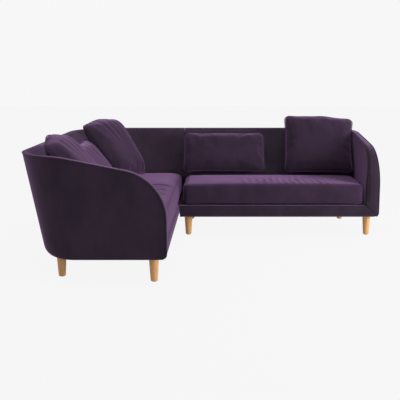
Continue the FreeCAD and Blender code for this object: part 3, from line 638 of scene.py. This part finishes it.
outsides = dress("outer_cover", outside_panel)

# %% [markdown]
# ## The padded inside
# On the seat side the wall is foam and velvet. It starts under the rolled edge of the border,
# leans forward down to the seat, and goes straight down beside the seat cushions to the deck. Its
# round corner is wide at the top and tight at the seat.

# %% Inside panels
PAD_FOOT = 0.243


def inside_column(side, station, edge, into):
    roll = min(0.018, ridge_width(side, station) * 0.34)
    starts = [(0.0035, EDGE_TUCK), (0.0060, 0.0006), (0.0105, 0.0)]
    points, tuck = column_head(station, edge, inner_plan, starts, roll, 0.002)
    share, level = points[-1][:2]
    for k in range(1, 25):
        points.append((share, mix(level, PAD_FOOT, k / 24), tuck))
    column = []
    for share, level, inset in points:
        along, here = plan_point(side, inner_plan(level, inset + into), station[0], share)
        column.append(place(side, along, here, level))
    return column


def inside_panel(side):
    return wall_panel("inside", side, inside_column, (0.0035, 0.0060), 0.009)


insides = dress("inner_pad", inside_panel)

# %% [markdown]
# ## The border below the cushions
# A padded border covers the front rail. It is sewn to the arm's border in a diagonal seam, has a
# soft upper edge under the seat cushion, and turns under the rail at the bottom.

# %% Front borders
def rail_profile():
    """Deep and height of the front border, from under the rail over its front to its top."""
    profile = [(0.052, 0.1532), (0.046, 0.1522)]
    for k in range(8):
        turn = math.pi / 2 * (1 - k / 8)
        profile.append((TOE * (1 - math.cos(turn)), FOOT + TOE * (1 - math.sin(turn))))
    for height in (0.192, 0.204, 0.216, 0.228, 0.238):
        profile.append((-0.0012 * math.sin(math.pi * (height - 0.192) / 0.050), height))
    for k in range(1, 6):
        turn = math.pi / 2 * k / 5
        profile.append((0.0075 * (1 - math.cos(turn)), 0.2425 + 0.0075 * math.sin(turn)))
    return profile + [(0.026, 0.2500), (0.048, 0.2480)]


def rail_border(side):
    face, lining = [], []
    for deep, height in rail_profile():
        start = max(toe_inset(height), mitre(height))
        if deep > 0.039 and height < 0.2:
            start = 0.045
        steps = [start + 0.0004, start + 0.0020, start + 0.0050]
        steps += [mix(start + 0.010, SEAT_RUN[side] - 0.004, k / 40) for k in range(41)]
        tucks = [0.0028, 0.0009, 0.0001] + [0.0] * 41
        face.append([place(side, along, deep + tuck, height) for along, tuck in zip(steps, tucks)])
        inner = height + (0.004 if height < 0.17 else -0.004 if height > 0.24 else 0)
        lining.append([place(side, along, max(deep, 0.002) + 0.005, inner) for along in steps])
    return slab(f"{side}_front_border", face, lining, velvet_cover)


rail_borders = dress("rail_border", rail_border)

# %% [markdown]
# ## Seat cushions
# Each seat cushion is a boxed cushion: a crowned top, a bottom, and a band round its sides. It
# starts here as a box of small squares with rounded corners and edges, a little smaller than it
# will be. Cloth simulation then blows it up, as the foam and wadding fill the real cover, and the
# points are held within the space that the arms and the back leave.

# %% Box of small squares
SQUARE_CORNERS = ((0, 0), (1, 0), (1, 1), (0, 1))


def rounded_box(low, high, corners, rolls, steps):
    """A closed box in along, deep and height, with plan radii at its front and back, and rolled edges."""
    counts = [max(4, round((high[a] - low[a]) / steps[a])) for a in range(3)]
    index, points, quads = {}, [], []

    def point(i, j, k):
        key = (i, j, k)
        if key not in index:
            spot = [mix(low[a], high[a], n / counts[a]) for a, n in enumerate(key)]
            index[key] = len(points)
            points.append(rounded_spot(spot, low, high, corners, rolls))
        return index[key]

    for axis in range(3):
        one, two = [a for a in range(3) if a != axis]
        for end in (0, counts[axis]):
            for m in range(counts[one]):
                for n in range(counts[two]):
                    ring = []
                    for dm, dn in SQUARE_CORNERS:
                        key = [0, 0, 0]
                        key[axis], key[one], key[two] = end, m + dm, n + dn
                        ring.append(point(*key))
                    quads.append(ring if end else ring[::-1])
    return points, quads, index, counts


def rounded_spot(spot, low, high, corners, rolls):
    along, deep, height = spot
    middle, half = (low[0] + high[0]) / 2, (high[0] - low[0]) / 2
    radius = corners[0] if deep < (low[1] + high[1]) / 2 else corners[1]
    side = 1 if along > middle else -1
    edge = low[1] if deep < (low[1] + high[1]) / 2 else high[1]
    out = -1 if edge == low[1] else 1
    dx = max(0.0, abs(along - middle) - (half - radius))
    dy = max(0.0, radius - abs(edge - deep))
    if dx > 0 and dy > 0:
        length = math.hypot(dx, dy)
        reach = max(dx, dy)
        along = middle + side * (half - radius + dx / length * reach)
        deep = edge - out * (radius - dy / length * reach)
        inside = radius - reach
        normal = Vector((side * dx, out * dy)).normalized()
    else:
        gaps = (half - abs(along - middle), abs(edge - deep))
        inside = min(gaps)
        normal = Vector((side, 0)) if gaps[0] <= gaps[1] else Vector((0, out))
    level = low[2] if height < (low[2] + high[2]) / 2 else high[2]
    roll = rolls[0] if level == low[2] else rolls[1]
    if roll > 0.02:
        roll = mix(roll, 0.044, abs(normal.x) ** 2)
    rise = roll - abs(level - height)
    if inside < roll and rise > 0:
        a, b = roll - inside, rise
        length, reach = math.hypot(a, b), max(a, b)
        shift = a / length * reach - a
        along += normal.x * shift
        deep += normal.y * shift
        way = 1 if level == high[2] else -1
        height = level - way * (roll - b / length * reach)
    return Vector((along, deep, height))


# %% [markdown]
# ### Filling a cover
# The simulation needs only pressure from inside. Gravity is left out, so that nothing falls, and
# twenty frames are enough for the cloth to tighten. The result is copied to a plain mesh, and the cloth
# goes.

# %% Cloth filling
def fill_covers(covers, pressure=4.0, frames=20):
    """Blows up several closed covers together and returns the new places of their points."""
    began = time.time()
    for cover in covers:
        cloth = cover.modifiers.new("fill", "CLOTH")
        settings = cloth.settings
        settings.use_pressure = True
        settings.uniform_pressure_force = pressure * cover["firm"]
        settings.effector_weights.gravity = 0
        settings.quality = 6
        settings.mass = 0.35
        settings.tension_stiffness = 18
        settings.compression_stiffness = 12
        settings.shear_stiffness = 6
        settings.bending_stiffness = cover["bending"]
        settings.air_damping = 4
        cloth.point_cache.frame_start = 1
        cloth.point_cache.frame_end = frames
        cloth.collision_settings.use_self_collision = False
        cloth.collision_settings.use_collision = False
    for number in range(1, frames + 1):
        scene.frame_set(number)
    graph = bpy.context.evaluated_depsgraph_get()
    filled = [[v.co.copy() for v in cover.evaluated_get(graph).data.vertices] for cover in covers]
    for cover in covers:
        cover.modifiers.remove(cover.modifiers["fill"])
    scene.frame_set(1)
    print("filled", len(covers), "covers in", round(time.time() - began, 1), "s")
    return filled


def raw_piece(name, points, quads, firm, bending):
    mesh = bpy.data.meshes.new(name)
    mesh.from_pydata(points, [], quads)
    mesh.validate()
    piece = bpy.data.objects.new(name, mesh)
    piece["firm"], piece["bending"] = firm, bending
    scene.collection.objects.link(piece)
    return piece


# %% Seat cushion covers
SEAT_LOW, SEAT_EDGE, SEAT_CROWN = 0.2510, 0.4185, 0.4385
SEAT_BACK = SEAT_DEEP - 0.0015
SEAT_SPANS = {
    "left": (ARM_WIDE + 0.0015, SEAT_RUN["left"] - 0.0015),
    "right": (ARM_WIDE + 0.0015, RIGHT_RUN - 0.0115),
}


def seat_cover(side):
    low_along, high_along = SEAT_SPANS[side]
    shy = 0.003
    low = (low_along + shy, shy - 0.002, SEAT_LOW + 0.002)
    high = (high_along - shy, SEAT_BACK - shy, SEAT_EDGE - 0.002)
    points, quads, index, counts = rounded_box(low, high, (0.044, 0.064), (0.011, 0.032),
                                               (0.0145, 0.020, 0.0135))
    for spot in points:
        across = (spot.x - low[0]) / (high[0] - low[0]) * 2 - 1
        through = (spot.y - low[1]) / (high[1] - low[1]) * 2 - 1
        lift = smooth((spot.z - 0.36) / 0.05)
        bow = math.sqrt(max(0, 1 - across ** 6)) * math.sqrt(max(0, 1 - through ** 4))
        spot.z += lift * bow * (SEAT_CROWN - SEAT_EDGE)
        front = smooth((-0.6 - through) / 0.4) * math.sqrt(max(0, 1 - across ** 8))
        middle = math.sin(math.pi * min(1, max(0, (spot.z - low[2]) / (high[2] - low[2]))))
        spot.y -= 0.011 * front * middle
    cover = raw_piece(f"{side}_seat_raw", [place(side, *spot) for spot in points], quads, 1.2, 1.5)
    return cover, points, quads, index, counts


seat_covers = {side: seat_cover(side) for side in SIDES}
print("seat covers", {side: len(found[2]) for side, found in seat_covers.items()}, "squares")

# %% [markdown]
# ## Scatter cushions
# A scatter cushion is two flat panels sewn together at their edges and filled. Filling is what
# gives it its shape: the sides draw in, the corners stay behind as ears, and the panels pucker
# along the seams. So the starting point is two shallow panels on a square grid that share their
# edge, and the simulation does the rest.

# %% Scatter cushion covers
LUMBAR, SQUARE = (0.690, 0.390, 0.130), (0.570, 0.570, 0.170)
# size, middle, heading and recline in degrees, slump, drop of the right and the left ear, lean of
# the upper right corner, draw of the lower right one, shift in X
CUSHIONS = {
    "right_lumbar_cushion": (LUMBAR, (0.049, 0.715, 0.605), 0, 38, 0.10, (0.006, 0.002), 0, 0, 0),
    "right_square_cushion": (SQUARE, (0.838, 0.758, 0.672), -4, 38, 0.16, (0.034, 0.004), 0.018, 0, 0.017),
    "corner_square_cushion": (SQUARE, (-0.820, 0.480, 0.672), 68, 38, 0.14, (0.020, 0.045), -0.020, 0.110,
                              -0.008),
    "left_lumbar_cushion": (LUMBAR, (-0.927, -0.100, 0.605), 90, 38, 0.10, (0.006, 0.010), -0.010, 0.020, 0),
    "near_square_cushion": (SQUARE, (-0.915, -0.678, 0.668), 90, 41, 0.14, (0.045, 0.062), -0.030, 0.060, 0),
}


def panel_spot(u, v, width, height):
    """A point of a cut panel, whose corners are rounded off; u and v run from -1 to 1."""
    x, z, corner = u * width / 2, v * height / 2, 0.045
    dx, dz = abs(x) - (width / 2 - corner), abs(z) - (height / 2 - corner)
    if dx > 0 and dz > 0:
        shorter = max(dx, dz) / math.hypot(dx, dz)
        x = math.copysign(width / 2 - corner + dx * shorter, x)
        z = math.copysign(height / 2 - corner + dz * shorter, z)
    return x, z


def cushion_cover(name, sizes):
    """Two panels that share their seam, in the cushion's own frame: X across, Z up, Y through it."""
    width, height, thick = sizes
    square, cut_larger, shallow = 0.0125, 1.01, 0.43
    columns, rows = round(width / square), round(height / square)
    index, points, quads = {}, [], []

    def panel_key(face, i, j):
        return (0 if i in (0, columns) or j in (0, rows) else face, i, j)

    for face in (-1, 1):
        for i in range(columns + 1):
            for j in range(rows + 1):
                key = panel_key(face, i, j)
                if key in index:
                    continue
                u, v = 2 * i / columns - 1, 2 * j / rows - 1
                bow = (max(0, 1 - u ** 4) * max(0, 1 - v ** 4)) ** 0.5
                x, z = panel_spot(u, v, width * cut_larger, height * cut_larger)
                index[key] = len(points)
                points.append(Vector((x, face * thick * shallow * bow, z)))
    for face in (-1, 1):
        for i in range(columns):
            for j in range(rows):
                ring = []
                for di, dj in SQUARE_CORNERS:
                    ring.append(index[panel_key(face, i + di, j + dj)])
                quads.append(ring if face < 0 else ring[::-1])
    seam = [index[(0, i, j)] for i, j in rim_steps(columns, rows)]
    return raw_piece(name + "_raw", points, quads, 1.0, 0.25), points, quads, seam


cushion_covers = {name: cushion_cover(name, values[0]) for name, values in CUSHIONS.items()}

# %% Fill all the covers
raw_pieces = [found[0] for found in (*seat_covers.values(), *cushion_covers.values())]
filled = dict(zip([piece.name for piece in raw_pieces], fill_covers(raw_pieces)))
for piece in raw_pieces:
    bpy.data.objects.remove(piece)

# %% [markdown]
# ### Seat cushions, finished
# The filled cover is held inside its space, the top gets the pulls that sitting leaves in velvet,
# which run from front to back, and a fine seam goes round the top and bottom edges of the band.


# %% Seat cushions
SEAT_MOVED, CUSHION_MOVED = 0.012, 0.017  # how far the filling may move a point
# from and to along, spacing, depth
PULLS = {"left": (0.55, 1.30, 0.120, 0.0100), "right": (0.24, 1.14, 0.106, 0.0100)}


def unplace(side, point):
    """Along, deep and height of a point of the sofa."""
    if side == "left":
        return Vector((point.y + HALF_DEPTH, LEFT_FRONT - point.x, point.z))
    return Vector((HALF_WIDTH - point.x, point.y - RIGHT_FRONT, point.z))


def pulled(side, along, deep):
    """Height of the pulls in the top of a seat cushion."""
    low, high, spacing, depth = PULLS[side]
    patch = smooth((along - low) / 0.18) * smooth((high - along) / 0.18)
    reach = smooth((deep - 0.01) / 0.07) * smooth((0.42 - deep) / 0.25)
    wobble = noise.noise(Vector((along * 3.0, deep * 7.0, 2.0))) * 0.045
    line = math.sin(math.tau * (along + wobble + 0.12 * deep) / spacing)
    fade = 0.65 + 0.6 * noise.noise(Vector((along * 9.0, deep * 4.0, 7.0)))
    return depth * patch * reach * fade * (1 - abs(line)) * 1.4 - 0.0016 * patch * reach


def seat_cushion(side):
    rest, quads, index, counts = seat_covers[side][1:]
    low_along, high_along = SEAT_SPANS[side]
    spots = []
    for start, moved in zip(rest, filled[f"{side}_seat_raw"]):
        spot = unplace(side, moved)
        shift = spot - start
        if shift.length > SEAT_MOVED:
            spot = start + shift * (SEAT_MOVED / shift.length)
        spot.x = min(max(spot.x, low_along), high_along)
        spot.y = min(max(spot.y, -0.014), SEAT_BACK)
        spot.z = min(max(spot.z, SEAT_LOW), SEAT_CROWN + 0.004)
        top = smooth((spot.z - 0.405) / 0.02)
        spot.z += top * (pulled(side, spot.x, spot.y)
                         + 0.0016 * noise.noise(Vector((spot.x * 5, spot.y * 5, 1.0))))
        spots.append(spot)
    placed = [place(side, *spot) for spot in spots]
    piece = soft_body(f"{side}_seat_cushion", placed, quads, velvet_seat)
    seams = []
    for level, row in (("top", counts[2]), ("bottom", 0)):
        path = [placed[index[(i, j, row)]] for i, j in rim_steps(*counts[:2])]
        seams.append(tube(f"{side}_seat_seam_{level}", path, 0.0017, velvet_seat, closed=True, sides=6))
    return piece, seams


seat_cushions = {side: seat_cushion(side) for side in SIDES}
for side, (piece, seams) in seat_cushions.items():
    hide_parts(f"{side}_seat_cushion_cover")
    print(piece.name, "is", [round(v, 3) for v in piece.dimensions], "m")

# %% [markdown]
# ### Scatter cushions, finished
# Each filled cushion is brought to its real size, slumps a little so that its lower half is
# fuller, and is leaned against the back where it stands. A corded seam runs round its edge.


# %% Lean the cushions
def pleats(name, u, v):
    """Soft folds that run down from the top seam and up from the bottom one, and fade out."""
    seed = len(name) * 3.1
    folds = noise.noise(Vector((u * 5.5 + v * 0.9, v * 0.8, seed)))
    fine = noise.noise(Vector((u * 12.0 + v * 1.5, v * 1.1, seed + 9.0)))
    upper = smooth((v + 0.15) / 0.75) * (1 - abs(v) ** 6)
    lower = 0.5 * smooth((-0.45 - v) / 0.5) * (1 - abs(v) ** 6)
    return (0.0085 * folds + 0.0035 * fine) * (upper + lower) * (1 - abs(u) ** 6)


def scatter_cushion(name, sizes, middle, heading, recline, slump, drops, lean, draw, shift):
    rest, quads, seam = cushion_covers[name][1:]
    spots = []
    for start, moved in zip(rest, filled[name + "_raw"]):
        move = moved - start
        if move.length > 1e-9:
            move *= CUSHION_MOVED * math.tanh(move.length / CUSHION_MOVED) / move.length
        spots.append(start + move)
    reach = [max(abs(spot[a]) for spot in spots) for a in range(3)]
    wanted = [sizes[0] / 2, sizes[2] / 2, sizes[1] / 2]
    for spot in spots:
        for a in range(3):
            spot[a] *= wanted[a] / reach[a]
        u, v = spot.x / wanted[0], spot.z / wanted[2]
        if spot.y < 0:
            spot.y -= pleats(name, u, v) * min(1, -spot.y / 0.02)
        spot.y *= 1 - slump * smooth((v + 1) / 2) + slump * 0.35
        spot.x += smooth(max(0, u)) * (lean * smooth(max(0, v)) - draw * smooth((1 - v) / 2))
        for across, drop in zip((1, -1), drops):
            spot.z -= drop * smooth(max(0, u * across)) * smooth(max(0, v))
        edge_wave = noise.noise(Vector((u * 2.2, 3.0, len(name) * 1.7)))
        spot.z += 0.007 * edge_wave * smooth((v - 0.55) / 0.45)
    where = (Matrix.Translation(Vector(middle) + Vector((shift, 0, 0)))
             @ Matrix.Rotation(math.radians(heading), 4, "Z")
             @ Matrix.Rotation(-math.radians(recline), 4, "X"))
    placed = [where @ spot for spot in spots]
    piece = soft_body(name + "_velvet", placed, quads, velvet_cushion)
    return piece, tube(name + "_cord", [placed[i] for i in seam], 0.0032, velvet_cover, closed=True)


scatter = {name: scatter_cushion(name, *values) for name, values in CUSHIONS.items()}
for name, (piece, cord) in scatter.items():
    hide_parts(name)
    print(piece.name, [round(v, 3) for v in piece.dimensions], "m")

# %% [markdown]
# ## Legs
# The legs are turned oak, a plain taper with a small rounded edge at the floor, and each stands on
# a felt disc. Turning is one outline taken round an axis, which is also how the wood is cut.


# %% Turn the legs
def turned(name, outlines, centres, finish, sides=40):
    """Turned pieces round upright axes; outlines are (radius, height) from the bottom to the top."""
    points, faces = [], []
    for x, y in centres:
        faces += ring_faces(len(outlines), sides, len(points))
        for radius, height in outlines:
            for k in range(sides):
                turn = math.tau * k / sides
                points.append((x + radius * math.cos(turn), y + radius * math.sin(turn), height))
    return made(name, points, faces, finish, 50)


LEFT_RUN = WALL_SHIFT + OUTER_DEEP[0]
FRONT_LEG, REAR_LEG = 0.086, 0.684  # depths
LEG_SPOTS = {
    "left": [(0.078, FRONT_LEG), (0.189, REAR_LEG), (LEFT_RUN - 0.078, FRONT_LEG),
             (LEFT_RUN - 0.179, REAR_LEG)],
    "right": [(0.078, FRONT_LEG), (0.189, REAR_LEG), (RIGHT_RUN - 0.066, FRONT_LEG),
              (RIGHT_RUN - 0.066, REAR_LEG)],
}
LEG_TOE, LEG_HEAD = (0.0228, 0.0080), (0.0315, 0.154)
leg_outline = [(0.0185, 0.0030), (0.0205, 0.0036), (0.0220, 0.0052), LEG_TOE]
leg_outline += [tuple(mix(low, high, k / 9) for low, high in zip(LEG_TOE, LEG_HEAD)) for k in range(1, 10)]
centres = {side: [place(side, along, deep, 0)[:2] for along, deep in spots]
           for side, spots in LEG_SPOTS.items()}
legs = {side: turned(f"{side}_oak_legs", leg_outline, centres[side], oak_leg) for side in SIDES}
for side, piece in legs.items():
    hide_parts(f"{side}_legs")
glide_outline = [(0.0145, 0.0), (0.0158, 0.0008), (0.0160, 0.0016), (0.0158, 0.0030)]
glides = turned("felt_glides", glide_outline, centres["left"] + centres["right"], felt_glide, 24)
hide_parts("leg_glides")
print("legs at", [[tuple(round(v, 3) for v in c) for c in found] for found in centres.values()])

# %% [markdown]
# ## Under the cushions and under the frame
# Lift a seat cushion and there is a dark deck cloth over felt, on elastic webbing. Tip the sofa
# over and there is a thin black dust cloth. Both are flat sheets, stapled tight, so they are made
# as grids cut to the outline of the frame.


# %% Decks, dust cloths, webbing and cores
def flat_sheet(name, side, limits, deeps, top, thick, finish, sag=0.0):
    """A stretched sheet; limits gives its low and high along at a depth."""
    face, lining = [], []
    shares = [k / 36 for k in range(37)]
    way = [sag * math.sin(math.pi * share) for share in shares]
    for deep in deeps:
        row = [mix(*limits(deep), share) for share in shares]
        face.append([place(side, along, deep, top - drop) for along, drop in zip(row, way)])
        lining.append([place(side, along, deep, top - thick - drop) for along, drop in zip(row, way)])
    sheet = slab(name, face, lining, finish, 40)
    widths = [limits(deep)[1] - limits(deep)[0] for deep in deeps]
    area = sum((widths[k] + widths[k + 1]) / 2 * (deeps[k + 1] - deeps[k]) for k in range(len(deeps) - 1))
    return sheet, (deeps[-1] - deeps[0], max(widths)), area


def sheet_limits(side, edge, curve, far, run):
    """Gives the low and high along of a sheet, whose rear corners are round, at any depth."""
    def limits(deep):
        in_by = curve - math.sqrt(max(0, curve ** 2 - max(0, deep - (far - curve)) ** 2))
        return edge + in_by, run - (in_by if side == "left" else 0)
    return limits


DECK_DEEPS = [0.022, 0.1, 0.2, 0.3, 0.4, 0.46, 0.480, 0.495, 0.510, 0.523, 0.532, 0.538, 0.5405]
DUST_DEEPS = [0.046, 0.15, 0.3, 0.45, 0.56, 0.60, 0.63, 0.66, 0.68, 0.70, 0.715, 0.729]
DECK_TOP, DUST_TOP, DUST_EDGE = 0.2498, 0.1576, 0.046
dust_deep, dust_round = outer_plan(FOOT, DUST_EDGE)[2:]
dust_run = {"left": LEFT_RUN - DUST_EDGE, "right": RIGHT_RUN - 0.004}
soft_parts = []
for side in SIDES:
    limits = sheet_limits(side, ARM_WIDE + 0.001, 0.060, SEAT_DEEP, SEAT_RUN[side] - 0.001)
    deck, flat, area = flat_sheet(f"{side}_deck_cloth", side, limits, DECK_DEEPS, DECK_TOP, 0.004, deck_cloth)
    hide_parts(f"{side}_deck")
    limits = sheet_limits(side, DUST_EDGE, dust_round, dust_deep, dust_run[side])
    dust, dust_flat, dust_area = flat_sheet(f"{side}_dust_sheet", side, limits, DUST_DEEPS, DUST_TOP,
                                            0.0012, dust_cloth, 0.0008)
    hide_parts(f"{side}_dust_cloth")
    soft_parts += [deck, dust]
    print(side, "deck", [round(v, 3) for v in flat], "dust cloth", [round(v, 3) for v in dust_flat])


def web_straps(side):
    first, last = ARM_WIDE + 0.016, SEAT_RUN[side] - 0.010
    front, rear = 0.028, 0.561
    pitch, wide, thin = 0.125, 0.070, 0.0006
    count = int((last - first) / pitch)
    start = (first + last - count * pitch - wide) / 2
    edge = [(0.0, 0.2409), (thin, 0.2404), (wide - thin, 0.2404), (wide, 0.2409),
            (wide, 0.2413), (wide - thin, 0.2418), (thin, 0.2418), (0.0, 0.2413)]
    points, faces = [], []
    for i in range(count + 1):
        faces += ring_faces(13, len(edge), len(points))
        for k in range(13):
            belly = 0.0003 * math.sin(math.pi * k / 12)
            points += [place(side, start + i * pitch + x, mix(front, rear, k / 12), z - belly)
                       for x, z in edge]
    return made(f"{side}_web_straps", points, faces, web_finish, 40)


for side in SIDES:
    straps = web_straps(side)
    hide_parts(f"{side}_webbing")
    low, high = SEAT_SPANS[side]
    inside = 0.035
    points, quads, _, _ = rounded_box((low + inside, inside, 0.277),
                                      (high - inside, SEAT_BACK - inside, 0.395),
                                      (0.012, 0.030), (0.008, 0.008), (0.05, 0.04, 0.02))
    core = made(f"{side}_foam", [place(side, *spot) for spot in points], quads, foam_core, 50)
    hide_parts(f"{side}_seat_cushion_core")
    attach(core, f"{side}_seat_cushion")
    soft_parts.append(straps)

# %% [markdown]
# ## Finishes of the frame
# The timber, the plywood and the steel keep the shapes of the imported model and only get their
# finish.

# %% Frame finishes
for name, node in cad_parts.items():
    if "arm_panel" in name:
        finish = plywood
    elif any(word in name for word in ("bolts", "plates")):
        finish = zinc_steel
    elif any(word in name for word in ("rail", "posts", "blocks")) and "border" not in name:
        finish = beech_frame
    else:
        continue
    for holder in node.material_slots:
        holder.material = finish

# %% [markdown]
# ## What rides on what
# Everything upholstered belongs to the frame, and each loose cushion is a body of its own with
# its seams, so it can be lifted out.

# %% Rides
groups = (borders, rail_borders, cords, outsides, insides, legs)
fixed = [piece for group in groups for piece in group.values()]
for piece in (*fixed, glides, *soft_parts):
    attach(piece, "frame")
for side, (piece, seams) in seat_cushions.items():
    for part in (piece, *seams):
        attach(part, f"{side}_seat_cushion")
for name, (piece, cord) in scatter.items():
    for part in (piece, cord):
        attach(part, name)

# %% [markdown]
# ## Light and floor
# The picture is a plain studio one: soft light from everywhere, a wide lamp from the right and a
# little from above, and a floor so pale that it runs into the background. The floor shows a
# light colour to the camera and to reflections but still takes the sofa's shadow.

# %% Floor
def seen_rays(tree):
    """1 for rays from the camera, from reflections and through glass, and 0 for all the others."""
    rays = add_node(tree, "ShaderNodeLightPath")
    seen, seen_all = (add_node(tree, "ShaderNodeMath", operation="MAXIMUM") for _ in range(2))
    wire(rays, "Is Camera Ray", seen, 0)
    wire(rays, "Is Glossy Ray", seen, 1)
    wire(seen, 0, seen_all, 0)
    wire(rays, "Is Transmission Ray", seen_all, 1)
    return seen_all


def blended(tree, share, first, second, end):
    blend = add_node(tree, "ShaderNodeMixShader")
    for socket, node in enumerate((share, first, second)):
        wire(node, 0, blend, socket)
    wire(blend, 0, tree.nodes[end], "Surface")


bpy.ops.mesh.primitive_plane_add(size=40, location=(0, 0, 0))
floor = bpy.context.object
floor.name = "floor"
floor_finish, tree, shader = new_finish("floor")
shader.inputs["Base Color"].default_value = (0.66, 0.66, 0.66, 1)
shader.inputs["Roughness"].default_value = 0.9
shader.inputs["Specular IOR Level"].default_value = 0.0
glow = add_node(tree, "ShaderNodeEmission", Color=(1.0, 1.0, 1.0, 1), Strength=0.955)
share = add_node(tree, "ShaderNodeMath", operation="MULTIPLY")
share.inputs[1].default_value = 0.94
wire(seen_rays(tree), 0, share, 0)
blended(tree, share, shader, glow, "Material Output")
floor.data.materials.append(floor_finish)

# %% World and lamps
world = bpy.data.worlds.new("studio")
scene.world = world
world.use_nodes = True
tree = world.node_tree
room = tree.nodes["Background"]
room.inputs["Color"].default_value = (1.0, 0.99, 0.985, 1)
room.inputs["Strength"].default_value = 0.50
pale = add_node(tree, "ShaderNodeBackground", Color=(1.0, 1.0, 1.0, 1), Strength=0.93)
blended(tree, seen_rays(tree), room, pale, "World Output")


def lamp(name, spot, target, size, power):
    data = bpy.data.lights.new(name, "AREA")
    data.shape = "RECTANGLE"
    data.size, data.size_y = size
    data.energy = power
    light = bpy.data.objects.new(name, data)
    light.location = spot
    light.rotation_euler = (Vector(target) - Vector(spot)).to_track_quat("-Z", "Y").to_euler()
    scene.collection.objects.link(light)


lamp("side_lamp", (4.4, -1.8, 1.3), (-0.4, 0.1, 0.4), (2.4, 1.8), 150)
lamp("top_lamp", (0.6, 0.8, 3.6), (0.0, 0.0, 0.4), (3.0, 2.4), 6)
scene.view_settings.view_transform = "Standard"
